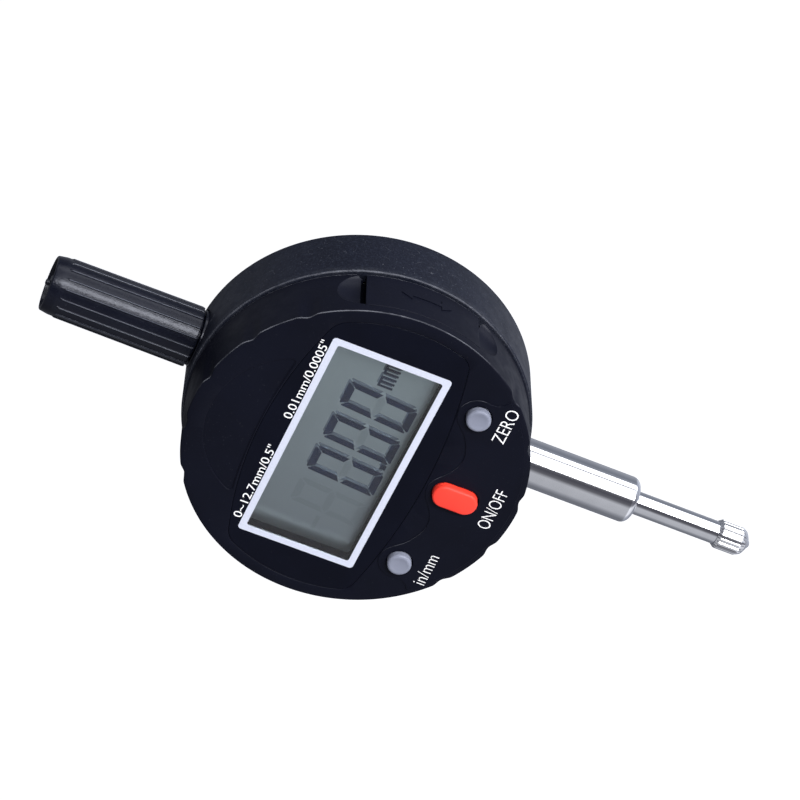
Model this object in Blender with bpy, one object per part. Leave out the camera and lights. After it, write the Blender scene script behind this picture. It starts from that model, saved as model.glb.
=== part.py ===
"""Digital dial indicator with 12.7 mm of travel: housings, display, keys, spindle and spring.

Frame: +Z runs up the spindle to the dust cap, -Y is the reading face, +X is the reading
direction, and the origin is the centre of the flat back face. Sizes are in millimetres
and become metres where a mesh is made.
"""

from math import atan2, copysign, cos, degrees, hypot, pi, radians, sin, sqrt, tau

import bmesh
import bpy
from mathutils import Matrix

MM = 0.001
GAP = 0.3
CUT_OVER = 1.0
CUT_OVERLAP = 0.01
SAME_POINT = 1e-4

# Depths along Y, from the back face (0) towards the reading face
BACK_COVER_IN = -2.5
REAR_EDGE_Y = -2.8
SEAM_REAR_Y = -14.2
SEAM_FRONT_Y = -14.5
FACE_Y = -25.4
FACE_INNER_Y = -23.2
SPINDLE_Y = -7.3

# Housings
REAR_R = 28.56
FRONT_R = 28.0
FACE_R = 27.92
EDGE_BEVEL = 0.45
WALL_INNER_R = 26.4
COVER_R, COVER_CHAMFER = 26.9, 0.7
SEAL_Y, SEAL_WALL = (-15.3, -13.4), 0.7
POST_R = 2.6
POSTS = ((15.7, 18.7), (-15.7, 18.7), (8.9, -22.7), (-8.9, -22.7))
RIM_SAMPLES = 120
NOTCH_DEPTH = 0.4
NOTCH_HALF_DEG = 4.0
NOTCH_FADE = 6.5
UPPER_NOTCHES = (38.5, 20.25)
LOWER_NOTCHES = (234.2, 21.1)
NOTCHES_A_SIDE = 5

# Display and lens
LENS_CORNERS = ((22.3, 12.85), (-22.3, 12.85), (-24.1, -9.1), (24.1, -9.1))
LENS_BULGES = (3.6, 2.47, 2.95, 2.47)
LENS_FILLET = 1.3
LENS_CLEARANCE = 0.2
LENS_Y = (-25.35, -24.35)
WINDOW_W, WINDOW_H = 38.5, 18.9
DISPLAY_Z = 2.1
GLASS_W, GLASS_H = 40.0, 22.4
GLASS_Y = (-22.9, -20.7)
BOARD_Y = (-18.0, -17.0)
BOARD_R = 25.4
BOARD_SCREWS = ((0.0, 18.6), (9.5, -13.2), (-9.5, -13.2))
BOARD_POST_R = 1.8
STRIP_REACH_X, STRIP_HALF_H, STRIP_INSET = 18.0, 1.0, 1.6

# Keys
KEY_FRONT_Y = -26.85
KEY_BACK_Y = -22.2
KEY_CLEARANCE = 0.25
KEY_COLLAR = 0.6
PLUNGER_R, PLUNGER_Y = 1.3, (-22.5, -20.3)
SWITCH_HALF, SWITCH_TOP_Y = 2.2, -19.3
SWITCH_DOME_R, SWITCH_DOME_Y = 1.2, (-19.8, -19.0)
ROUND_KEY_R = 2.0
ZERO_KEY = (15.4, -14.4)
UNIT_KEY = (-15.4, -14.4)
POWER_KEY = (0.0, -17.3)
POWER_KEY_W, POWER_KEY_H = 4.1, 7.6

# Fasteners: thread and clearance radii, and where the threads end
CASE_THREAD_R, CASE_THREAD_END_Y = 1.1, -22.4
CASE_CLEARANCE_R = 1.25
CASE_SHANK, CASE_HEAD = (0.95, -20.5), (1.75, -1.5, -0.4)
CASE_HEAD_SEAT = (2.0, -1.7)
BOARD_THREAD_R, BOARD_THREAD_END_Y = 0.9, -21.6
BOARD_CLEARANCE_R = 0.95
BOARD_SHANK, BOARD_HEAD = (0.65, -21.2), (1.5, -16.8, -15.9)
CHASSIS_CLEARANCE_R, CHASSIS_PILOT_R = 1.05, 1.0
CHASSIS_SHANK, CHASSIS_HEAD = (0.8, -1.2), (1.6, -12.2, -13.1)

# Chassis and spindle group
CHASSIS_SCREWS = ((-10.2, 17.7), (-10.2, -17.7))
CHASSIS_Y = (-12.0, -2.9)
TRAVEL = 12.7
SPINDLE_R = 2.0
STEM_R = 4.0
STEM_Z = (-50.5, -17.5)
STEM_SHOULDER_Z = -26.4
STEM_NECK_R = 3.2
STEM_BORE_R, STEM_MOUTH_R, STEM_LIP = 2.75, 2.35, 0.6
BUSHING_BORE_R = 2.15
SPINDLE_Z = (-66.0, 36.0)
CONTACT_R = 2.55
CONTACT_Z = (-72.4, -66.3)
KNURL_DEPTH, KNURL_PITCH_DEG = 0.16, 10
SLIDER_X, SLIDER_Y, SLIDER_Z = (-3.6, 4.5), (-11.0, -4.0), (-12.0, -2.0)
GUIDE_PIN_R = 0.9
GUIDE_PIN_Y, GUIDE_PIN_Z = -9.3, -5.0
SPRING_COIL_R, SPRING_WIRE_R, SPRING_TURNS = 2.9, 0.25, 8
SPRING_Z = (-1.7, 15.7)

# Dust cap
CAP_Z = (29.0, 54.2)
CAP_BASE_R, CAP_END_R = 5.2, 5.0
CAP_RIBS = 18
COLLAR_R, COLLAR_NECK_R, COLLAR_THREAD_R = 4.8, 3.9, 3.75
COLLAR_Z, COLLAR_FLANGE_Z = (25.5, 34.0), (27.9, 28.7)
COLLAR_BORE_R = 2.6

# Battery and port
BATTERY = (12.5, -8.5)
CELL_R = 5.8
CELL_Y = (-8.95, -3.75)
LID_R, LID_PLUG_R, LID_STEP_Y = 7.3, 5.6, -1.6
COIN_SLOT_W, COIN_SLOT_L, COIN_SLOT_DEEP = 1.6, 10.0, 0.9
HOLDER_R, HOLDER_WALL, HOLDER_Y = 6.75, 0.7, (-10.4, -2.8)
PORT_HALF_DEG = 20.3
PORT_GAP_DEG = 0.6
PORT_Y = (-23.4, -14.5)
PORT_TONGUE = ((24.4, 27.2), (-22.6, -18.9), (-6.0, 6.0))
SCOOP_SIZE = (1.15, 4.6, 4.4)
SCOOP_OUT, SCOOP_Y = 0.1, -19.05

# Colour, roughness and metallic value of each finish
FINISHES = {
    "black_plastic": ((0.016, 0.017, 0.020), 0.48, 0.0),
    "rear_casting": ((0.030, 0.032, 0.038), 0.62, 0.0),
    "lens_print": ((0.012, 0.013, 0.016), 0.18, 0.0),
    "display_glass": ((0.30, 0.33, 0.30), 0.25, 0.0),
    "grey_key": ((0.32, 0.33, 0.38), 0.45, 0.0),
    "red_key": ((0.78, 0.07, 0.03), 0.40, 0.0),
    "white_plastic": ((0.75, 0.75, 0.72), 0.50, 0.0),
    "rubber": ((0.03, 0.03, 0.03), 0.80, 0.0),
    "polished_steel": ((0.62, 0.62, 0.64), 0.18, 1.0),
    "spring_steel": ((0.50, 0.50, 0.52), 0.30, 1.0),
    "dark_screw": ((0.18, 0.18, 0.19), 0.35, 1.0),
    "zinc_frame": ((0.45, 0.46, 0.48), 0.45, 1.0),
    "bronze": ((0.58, 0.38, 0.16), 0.35, 1.0),
    "gold_contact": ((0.85, 0.62, 0.22), 0.30, 1.0),
    "green_board": ((0.02, 0.16, 0.07), 0.45, 0.0),
    "chip_black": ((0.02, 0.02, 0.02), 0.55, 0.0),
}


def clear_scene():
    for thing in list(bpy.data.objects):
        bpy.data.objects.remove(thing, do_unlink=True)


def material(finish):
    found = bpy.data.materials.get(finish)
    if found:
        return found
    colour, roughness, metallic = FINISHES[finish]
    made = bpy.data.materials.new(finish)
    made.use_nodes = True
    shader = made.node_tree.nodes["Principled BSDF"]
    shader.inputs["Base Color"].default_value = (*colour, 1.0)
    shader.inputs["Roughness"].default_value = roughness
    shader.inputs["Metallic"].default_value = metallic
    return made


def joint_empty(name, at):
    """An empty on a joint's axis, which the pieces that move with it are parented to."""
    empty = bpy.data.objects.new(name, None)
    empty.location = [value * MM for value in at]
    bpy.context.scene.collection.objects.link(empty)
    return empty


def piece(name, bm, finish, parent=None):
    """Makes an object of a bmesh in millimetres; a piece with no finish is a cutter."""
    bmesh.ops.recalc_face_normals(bm, faces=bm.faces)
    bm.transform(Matrix.Scale(MM, 4))
    if parent:
        bm.transform(Matrix.Translation(-parent.location))
    mesh = bpy.data.meshes.new(name)
    bm.to_mesh(mesh)
    bm.free()
    mesh.shade_smooth()
    mesh.set_sharp_from_angle(angle=radians(35))
    thing = bpy.data.objects.new(name, mesh)
    bpy.context.scene.collection.objects.link(thing)
    thing.parent = parent
    if finish:
        mesh.materials.append(material(finish))
    else:
        thing.hide_render = True
        thing.display_type = "WIRE"
    return thing


def combine(target, *others, operation="DIFFERENCE"):
    for other in others:
        modifier = target.modifiers.new(other.name, "BOOLEAN")
        modifier.operation = operation
        modifier.object = other


# Outlines in the face plane, as lists of (x, z)


def circle(radius, centre=(0.0, 0.0), samples=24):
    turns = (tau * step / samples for step in range(samples))
    return [(centre[0] + radius * cos(t), centre[1] + radius * sin(t)) for t in turns]


def rectangle(width, height, centre=(0.0, 0.0), corner=0.0):
    if not corner:
        signs = ((1, 1), (-1, 1), (-1, -1), (1, -1))
        return [(centre[0] + a * width / 2, centre[1] + b * height / 2) for a, b in signs]
    points = []
    for quarter, (a, b) in enumerate(((1, 1), (-1, 1), (-1, -1), (1, -1))):
        x = centre[0] + a * (width / 2 - corner)
        z = centre[1] + b * (height / 2 - corner)
        for step in range(7):
            t = (quarter + step / 6) * pi / 2
            points.append((x + corner * cos(t), z + corner * sin(t)))
    return [
        p for i, p in enumerate(points)
        if hypot(p[0] - points[i - 1][0], p[1] - points[i - 1][1]) > SAME_POINT]


def lobed_circle(radius, lobe_radius):
    """A circle that runs inside the four screw posts, each taken as lobe_radius wide."""
    turns = {radians(step) for step in range(0, 360, 6)}
    for x, z in POSTS:
        half = atan2(lobe_radius, hypot(x, z)) * 0.999
        turns |= {(atan2(z, x) + half * step / 4) % tau for step in range(-4, 5)}
    points = []
    for turn in sorted(turns):
        reach = radius
        for x, z in POSTS:
            along = x * cos(turn) + z * sin(turn)
            inside = lobe_radius**2 - (x * x + z * z - along * along)
            if along > 0 and inside > 0:
                reach = min(reach, along - sqrt(inside))
        points.append((reach * cos(turn), reach * sin(turn)))
    return points


def bowed(start, end, bulge, steps):
    """Points from start towards end on the arc that bulges to the right of the way."""
    chord = hypot(end[0] - start[0], end[1] - start[1])
    along = ((end[0] - start[0]) / chord, (end[1] - start[1]) / chord)
    radius = (chord * chord / 4 + bulge * bulge) / (2 * bulge)
    points = []
    for step in range(steps):
        run = (step / steps - 0.5) * chord
        rise = sqrt(radius * radius - run * run) - (radius - bulge)
        run += chord / 2
        points.append((
            start[0] + along[0] * run + along[1] * rise,
            start[1] + along[1] * run - along[0] * rise,
        ))
    return points


def barrel(grow=0.0):
    """The lens outline: four bowed sides with rounded corners, grown outwards by grow."""
    corners = [(x + copysign(grow, x), z + copysign(grow, z)) for x, z in LENS_CORNERS]
    sides = []
    for index, corner in enumerate(corners):
        after = corners[(index + 1) % 4]
        side = bowed(corner, after, LENS_BULGES[index], 16) + [after]
        sides.append([
            p for p in side
            if min(hypot(p[0] - q[0], p[1] - q[1]) for q in (corner, after)) > LENS_FILLET])
    outline = []
    for index, corner in enumerate(corners):
        start, end = sides[index - 1][-1], sides[index][0]
        for step in range(1, 6):
            t = step / 6
            outline.append(tuple(
                (1 - t) ** 2 * start[axis] + 2 * t * (1 - t) * corner[axis] + t * t * end[axis]
                for axis in (0, 1)))
        outline += sides[index]
    return outline


def sector(inner_r, outer_r, half_degrees, steps=10):
    turns = [radians(half_degrees * (2 * step / steps - 1)) for step in range(steps + 1)]
    outer = [(outer_r * cos(t), outer_r * sin(t)) for t in turns]
    return outer + [(inner_r * cos(t), inner_r * sin(t)) for t in reversed(turns)]


# Solids


def slab(name, outline, depth, finish, holes=(), parent=None):
    """An outline with holes, extruded along Y from depth[0] to depth[1]."""
    bm = bmesh.new()
    for loop in (outline, *holes):
        verts = [bm.verts.new((x, depth[0], z)) for x, z in loop]
        for index, vert in enumerate(verts):
            bm.edges.new((verts[index - 1], vert))
    bmesh.ops.triangle_fill(bm, use_beauty=True, edges=bm.edges[:])
    made = bmesh.ops.extrude_face_region(bm, geom=bm.faces[:])["geom"]
    moved = [item for item in made if isinstance(item, bmesh.types.BMVert)]
    bmesh.ops.translate(bm, verts=moved, vec=(0.0, depth[1] - depth[0], 0.0))
    return piece(name, bm, finish, parent)


def block(name, x, y, z, finish, parent=None):
    bm = bmesh.new()
    centre = [(low + high) / 2 for low, high in (x, y, z)]
    size = [high - low for low, high in (x, y, z)]
    place = Matrix.Translation(centre) @ Matrix.Diagonal((*size, 1.0))
    bmesh.ops.create_cube(bm, size=1.0, matrix=place)
    return piece(name, bm, finish, parent)


def turned(name, rings, finish, at=(0.0, 0.0, 0.0), axis="Z", samples=24, ring=False, parent=None):
    """Turns (radius, height) rings about an axis through at.

    A radius may be a function of the angle in degrees. With ring the last ring meets the
    first, and otherwise both ends are closed: by a point where the radius is 0, or flat.
    """
    bm = bmesh.new()
    order = {"Z": (0, 1, 2), "Y": (0, 2, 1), "X": (1, 2, 0)}[axis]

    def vert(radius, height, turn):
        local = (radius * cos(turn), radius * sin(turn), height)
        point = [0.0, 0.0, 0.0]
        for source, target in enumerate(order):
            point[target] = local[source]
        return bm.verts.new([a + b for a, b in zip(point, at)])

    loops = []
    for radius, height in rings:
        if radius == 0:
            loops.append([vert(0, height, 0)])
            continue
        turns = [tau * step / samples for step in range(samples)]
        reach = radius if callable(radius) else lambda _, r=radius: r
        loops.append([vert(reach(degrees(t)), height, t) for t in turns])
    pairs = list(zip(loops, loops[1:])) + ([(loops[-1], loops[0])] if ring else [])
    for low, high in pairs:
        if len(low) == len(high) == 1:
            continue
        for index in range(samples):
            corners = [low[index - 1], low[index]] if len(low) > 1 else [low[0]]
            corners += [high[index], high[index - 1]] if len(high) > 1 else [high[0]]
            bm.faces.new(corners)
    for end in (loops[0], loops[-1]):
        if not ring and len(end) > 1:
            bm.faces.new(end)
    return piece(name, bm, finish, parent)


def rod(name, radius, reach, finish, at=(0.0, 0.0), axis="Z", samples=16, chamfer=0.0, parent=None):
    """A plain rod along an axis; at is its place in the other two directions."""
    place = {"Z": (at[0], at[1], 0), "Y": (at[0], 0, at[1]), "X": (0, at[0], at[1])}[axis]
    low, high = reach
    rings = [(radius, low), (radius, high)]
    if chamfer:
        rings = [(radius - chamfer, low), (radius, low + chamfer),
                 (radius, high - chamfer), (radius - chamfer, high)]
    return turned(name, rings, finish, at=place, axis=axis, samples=samples, parent=parent)


def tube(name, inner, outer, reach, finish, at=(0.0, 0.0), axis="Z", samples=24, parent=None):
    place = {"Z": (at[0], at[1], 0), "Y": (at[0], 0, at[1]), "X": (0, at[0], at[1])}[axis]
    low, high = reach
    rings = [(outer, low), (outer, high), (inner, high), (inner, low)]
    return turned(name, rings, finish, at=place, axis=axis, samples=samples, ring=True, parent=parent)


def screw(name, at, shank, head, finish="dark_screw"):
    """A screw along Y: its shank is (radius, tip), and its head (radius, underside, top)."""
    shank_r, tip = shank
    head_r, underside, top = head
    rings = [(shank_r, tip), (shank_r, underside), (head_r, underside), (head_r, top)]
    return turned(name, rings, finish, at=(at[0], 0, at[1]), axis="Y", samples=12)


# The object


def rim_radius(radius, depth):
    """The front housing's radius at an angle, with the grip notches cut depth deep."""
    notches = [first + pitch * index
               for first, pitch in (UPPER_NOTCHES, LOWER_NOTCHES) for index in range(NOTCHES_A_SIDE)]

    def reach(angle):
        off = min(abs((angle - notch + 180) % 360 - 180) for notch in notches)
        if off >= NOTCH_HALF_DEG:
            return radius
        return radius - depth * (1 + cos(pi * off / NOTCH_HALF_DEG)) / 2

    return reach


def front_housing():
    fade_y = FACE_Y + NOTCH_FADE
    rings = [
        (rim_radius(FACE_R - EDGE_BEVEL, NOTCH_DEPTH), FACE_Y),
        (rim_radius(FACE_R, NOTCH_DEPTH), FACE_Y + EDGE_BEVEL),
        (rim_radius(FACE_R, NOTCH_DEPTH / 2), (FACE_Y + fade_y) / 2),
        (FRONT_R, fade_y),
        (FRONT_R, SEAM_FRONT_Y),
    ]
    housing = turned("front_housing", rings, "black_plastic", axis="Y", samples=RIM_SAMPLES)
    board_posts = [circle(BOARD_POST_R, at, 12) for at in BOARD_SCREWS]
    split_y = BOARD_Y[0] - GAP
    through_face = (FACE_Y - CUT_OVER, FACE_INNER_Y + CUT_OVER)
    key_hole_r = ROUND_KEY_R + KEY_CLEARANCE
    cutters = [
        slab("cut_front_cavity", lobed_circle(WALL_INNER_R, POST_R), (FACE_INNER_Y, split_y),
             None, holes=board_posts),
        slab("cut_rear_cavity", lobed_circle(WALL_INNER_R, POST_R),
             (split_y - CUT_OVERLAP, SEAM_FRONT_Y + CUT_OVER), None),
        slab("cut_lens_pocket", barrel(LENS_CLEARANCE), (FACE_Y - CUT_OVER, LENS_Y[1] + GAP), None),
        slab("cut_window", rectangle(WINDOW_W, WINDOW_H, (0, DISPLAY_Z)), through_face, None),
        slab("cut_port", sector(WALL_INNER_R - 0.2, FRONT_R + 2, PORT_HALF_DEG + PORT_GAP_DEG),
             (PORT_Y[0] - GAP, SEAM_FRONT_Y + CUT_OVER), None),
        rod("cut_zero_key", key_hole_r, through_face, None, ZERO_KEY, "Y", 24),
        rod("cut_unit_key", key_hole_r, through_face, None, UNIT_KEY, "Y", 24),
        slab("cut_power_key",
             rectangle(POWER_KEY_W + 2 * KEY_CLEARANCE, POWER_KEY_H + 2 * KEY_CLEARANCE, POWER_KEY,
                       POWER_KEY_W / 2 + KEY_CLEARANCE),
             through_face, None),
    ]
    for index, at in enumerate(POSTS):
        reach = (CASE_THREAD_END_Y, SEAM_FRONT_Y + CUT_OVER)
        cutters.append(rod(f"cut_front_bore_{index}", CASE_THREAD_R, reach, None, at, "Y", 12))
    for index, at in enumerate(BOARD_SCREWS):
        reach = (BOARD_THREAD_END_Y, split_y + CUT_OVER)
        cutters.append(rod(f"cut_board_bore_{index}", BOARD_THREAD_R, reach, None, at, "Y", 12))
    scoop_turn = PORT_HALF_DEG + PORT_GAP_DEG / 2
    for name, angle in (("cut_scoop_upper", scoop_turn), ("cut_scoop_lower", -scoop_turn)):
        bm = bmesh.new()
        turn = Matrix.Rotation(-radians(angle), 4, "Y")
        place = turn @ Matrix.Translation((FRONT_R + SCOOP_OUT, SCOOP_Y, 0))
        bmesh.ops.create_uvsphere(
            bm, u_segments=20, v_segments=10, radius=1.0, matrix=place @ Matrix.Diagonal((*SCOOP_SIZE, 1.0)))
        cutters.append(piece(name, bm, None))
    combine(housing, *cutters)


def rear_housing():
    rings = [(REAR_R - EDGE_BEVEL, SEAM_REAR_Y), (REAR_R, SEAM_REAR_Y + EDGE_BEVEL), (REAR_R, REAR_EDGE_Y)]
    housing = turned("rear_housing", rings, "rear_casting", axis="Y", samples=80)
    through = (SEAM_REAR_Y - CUT_OVER, REAR_EDGE_Y + CUT_OVER)
    cutters = [slab("cut_rear_room", lobed_circle(WALL_INNER_R, POST_R), through, None)]
    for index, at in enumerate(POSTS):
        cutters.append(rod(f"cut_post_bore_{index}", CASE_CLEARANCE_R, through, None, at, "Y", 12))
    axis_at = (0, SPINDLE_Y)
    seat_z = COLLAR_FLANGE_Z[0] - GAP
    cutters += [
        rod("cut_stem_hole", STEM_R + 0.25, (-31, -24), None, axis_at, samples=32),
        rod("cut_collar_hole", COLLAR_NECK_R + GAP, (24, 31), None, axis_at, samples=32),
        rod("cut_collar_seat", COLLAR_R + 0.2, (seat_z, 32), None, axis_at, samples=32),
    ]
    combine(housing, *cutters)


def back_cover():
    rings = [(COVER_R, BACK_COVER_IN), (COVER_R, -COVER_CHAMFER), (COVER_R - COVER_CHAMFER, 0.0)]
    cover = turned("back_cover", rings, "rear_casting", axis="Y", samples=60)
    cutters = [
        rod("cut_lid_seat", LID_R + GAP, (LID_STEP_Y - GAP, CUT_OVER), None, BATTERY, "Y", 40),
        rod("cut_lid_hole", LID_PLUG_R + CUT_OVER, (-4, CUT_OVER), None, BATTERY, "Y", 40),
    ]
    seat_r, seat_y = CASE_HEAD_SEAT
    for index, at in enumerate(POSTS):
        cutters.append(rod(f"cut_head_seat_{index}", seat_r, (seat_y, CUT_OVER), None, at, "Y", 16))
        cutters.append(rod(f"cut_cover_bore_{index}", CASE_CLEARANCE_R, (-4, CUT_OVER), None, at, "Y", 12))
    for index, at in enumerate(CHASSIS_SCREWS):
        cutters.append(rod(f"cut_cover_pilot_{index}", CHASSIS_PILOT_R, (-4, -0.9), None, at, "Y", 12))
    combine(cover, *cutters)


def case_seal():
    outer, lobe = WALL_INNER_R - GAP, POST_R + GAP
    slab("housing_seal", lobed_circle(outer, lobe), SEAL_Y, "rubber",
         holes=[lobed_circle(outer - SEAL_WALL, lobe + SEAL_WALL)])


def display():
    slab("lens_panel", barrel(), LENS_Y, "lens_print")
    glass_z = (DISPLAY_Z - GLASS_H / 2, DISPLAY_Z + GLASS_H / 2)
    block("lcd_glass", (-GLASS_W / 2, GLASS_W / 2), GLASS_Y, glass_z, "display_glass")
    slab("lcd_holder", rectangle(GLASS_W + 2.4, GLASS_H + 2.0, (0, DISPLAY_Z), 1.0),
         (GLASS_Y[0], BOARD_Y[0] - 0.4), "white_plastic",
         holes=[rectangle(GLASS_W + 2 * GAP, GLASS_H + 2 * GAP, (0, DISPLAY_Z))])
    upper, lower = glass_z[1] - STRIP_INSET, glass_z[0] + STRIP_INSET
    for name, z in (("zebra_strip_upper", upper), ("zebra_strip_lower", lower)):
        block(name, (-STRIP_REACH_X, STRIP_REACH_X), (GLASS_Y[1] + GAP, BOARD_Y[0] - GAP),
              (z - STRIP_HALF_H, z + STRIP_HALF_H), "rubber")


def boards():
    holes = [circle(BOARD_CLEARANCE_R, at, 12) for at in BOARD_SCREWS]
    slab("main_board", lobed_circle(BOARD_R, POST_R + 0.6), BOARD_Y, "green_board", holes=holes)
    for index, at in enumerate(BOARD_SCREWS, 1):
        screw(f"board_screw_{index}", at, BOARD_SHANK, BOARD_HEAD)
    block("controller_chip", (8.0, 15.0), (-16.8, -15.5), (5.0, 12.0), "chip_black")
    block("data_connector", (18.6, 24.6), (-16.8, -14.9), (-4.0, 4.0), "chip_black")
    block("sensor_board", (-8.0, 5.2), (-13.3, -12.3), (-15.7, 15.7), "green_board")
    block("sensor_chip", (-4.5, 0.5), (-14.7, -13.6), (4.5, 9.5), "chip_black")
    block("board_connector", (-6.0, 4.0), (-16.7, -13.6), (-12.5, -10.0), "chip_black")


def key(name, switch_name, at, outline, collar, finish):
    """A key cap with its collar behind the face, on its own slide, and the switch under it."""
    slide = joint_empty(name + "_slide", (at[0], KEY_FRONT_Y, at[1]))
    collar_front = FACE_INNER_Y + GAP
    cap = slab(name, outline, (KEY_FRONT_Y, collar_front + GAP), finish, parent=slide)
    flange = slab(name + "_collar", collar, (collar_front, KEY_BACK_Y), None, parent=slide)
    plunger = rod(name + "_plunger", PLUNGER_R, PLUNGER_Y, None, at, "Y", 16, parent=slide)
    combine(cap, flange, plunger, operation="UNION")
    switch = block(switch_name, (at[0] - SWITCH_HALF, at[0] + SWITCH_HALF), (SWITCH_TOP_Y, BOARD_Y[0] - GAP),
                   (at[1] - SWITCH_HALF, at[1] + SWITCH_HALF), "chip_black")
    dome = rod(switch_name + "_dome", SWITCH_DOME_R, SWITCH_DOME_Y, None, at, "Y", 16)
    combine(switch, dome, operation="UNION")


def keys():
    round_keys = (("zero_key", "zero_switch", ZERO_KEY), ("unit_key", "unit_switch", UNIT_KEY))
    for name, switch_name, at in round_keys:
        collar = circle(ROUND_KEY_R + KEY_COLLAR, at, 32)
        key(name, switch_name, at, circle(ROUND_KEY_R, at, 32), collar, "grey_key")
    collar = rectangle(POWER_KEY_W + 2 * KEY_COLLAR, POWER_KEY_H + 2 * KEY_COLLAR, POWER_KEY,
                       POWER_KEY_W / 2 + KEY_COLLAR)
    outline = rectangle(POWER_KEY_W, POWER_KEY_H, POWER_KEY, POWER_KEY_W / 2)
    key("power_key", "power_switch", POWER_KEY, outline, collar, "red_key")


def case_screws():
    for index, at in enumerate(POSTS, 1):
        screw(f"case_screw_{index}", at, CASE_SHANK, CASE_HEAD)


def chassis():
    outline = [
        (-12.0, -19.5), (-5.5, -19.5), (-5.5, -25.0), (5.5, -25.0), (5.5, -16.0), (-8.5, -16.0),
        (-8.5, 16.0), (5.5, 16.0), (5.5, 25.0), (-5.5, 25.0), (-5.5, 19.5), (-12.0, 19.5),
    ]
    frame = slab("chassis_frame", outline, CHASSIS_Y, "zinc_frame",
                 holes=[circle(CHASSIS_CLEARANCE_R, at, 12) for at in CHASSIS_SCREWS])
    slot_z = (GUIDE_PIN_Z - GUIDE_PIN_R - GAP, GUIDE_PIN_Z + TRAVEL + GUIDE_PIN_R + GAP)
    combine(
        frame,
        rod("cut_neck_bore", STEM_NECK_R + 0.2, (-26, -10), None, (0, SPINDLE_Y), samples=32),
        rod("cut_bushing_bore", STEM_NECK_R + 0.2, (10, 26), None, (0, SPINDLE_Y), samples=32),
        block("cut_guide_slot", (-10.6, -8.0), (GUIDE_PIN_Y - 1.05, GUIDE_PIN_Y + 1.05), slot_z, None),
    )
    for index, at in enumerate(CHASSIS_SCREWS, 1):
        screw(f"chassis_screw_{index}", at, CHASSIS_SHANK, CHASSIS_HEAD)
    on_axis = (0, SPINDLE_Y, 0)
    low, high = STEM_Z
    turned("stem_tube", [
        (STEM_R - 1.5, low), (STEM_R - 0.75, low + 0.2), (STEM_R - 0.2, low + 0.75), (STEM_R, low + 1.5),
        (STEM_R, STEM_SHOULDER_Z), (STEM_NECK_R, STEM_SHOULDER_Z), (STEM_NECK_R, high), (STEM_BORE_R, high),
        (STEM_BORE_R, low + STEM_LIP), (STEM_MOUTH_R, low + STEM_LIP), (STEM_MOUTH_R, low),
    ], "polished_steel", at=on_axis, samples=32, ring=True)
    tube("lower_bushing", BUSHING_BORE_R, STEM_BORE_R - 0.2, (low + 0.9, -41.0), "bronze", (0, SPINDLE_Y))
    tube("upper_bushing", BUSHING_BORE_R, STEM_NECK_R, (17.0, 25.2), "bronze", (0, SPINDLE_Y), samples=32)
    turned("cap_collar", [
        (COLLAR_NECK_R, COLLAR_Z[0]), (COLLAR_NECK_R, COLLAR_FLANGE_Z[0]), (COLLAR_R, COLLAR_FLANGE_Z[0]),
        (COLLAR_R, COLLAR_FLANGE_Z[1]), (COLLAR_THREAD_R, COLLAR_FLANGE_Z[1]), (COLLAR_THREAD_R, COLLAR_Z[1]),
        (COLLAR_BORE_R, COLLAR_Z[1]), (COLLAR_BORE_R, COLLAR_Z[0]),
    ], "black_plastic", at=on_axis, samples=32, ring=True)
    tube("stop_bumper", 2.3, 3.7, (-15.7, SLIDER_Z[0] - GAP), "rubber", (0, SPINDLE_Y))


def dust_cap():
    slide = joint_empty("dust_cap_slide", (0, SPINDLE_Y, CAP_Z[0]))

    def ribbed(radius):
        def reach(angle):
            across = angle % (360 / CAP_RIBS)
            return radius if across < 360 / CAP_RIBS / 2 else radius - 0.3
        return reach

    turned("dust_cap", [
        (CAP_BASE_R - 0.3, CAP_Z[0]), (ribbed(CAP_BASE_R), CAP_Z[0] + 0.4),
        (ribbed(CAP_END_R), CAP_Z[1] - 2.2), (CAP_END_R - 0.35, CAP_Z[1] - 1.4),
        (CAP_END_R - 0.9, CAP_Z[1]), (3.2, CAP_Z[1]), (3.2, CAP_Z[1] - 0.8), (0.0, CAP_Z[1] - 0.8),
        (0.0, CAP_Z[1] - 3.0), (3.3, CAP_Z[1] - 3.0), (3.3, 36.0), (4.1, 35.0), (4.1, CAP_Z[0]),
    ], "black_plastic", at=(0, SPINDLE_Y, 0), samples=CAP_RIBS * 4, ring=True, parent=slide)


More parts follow.
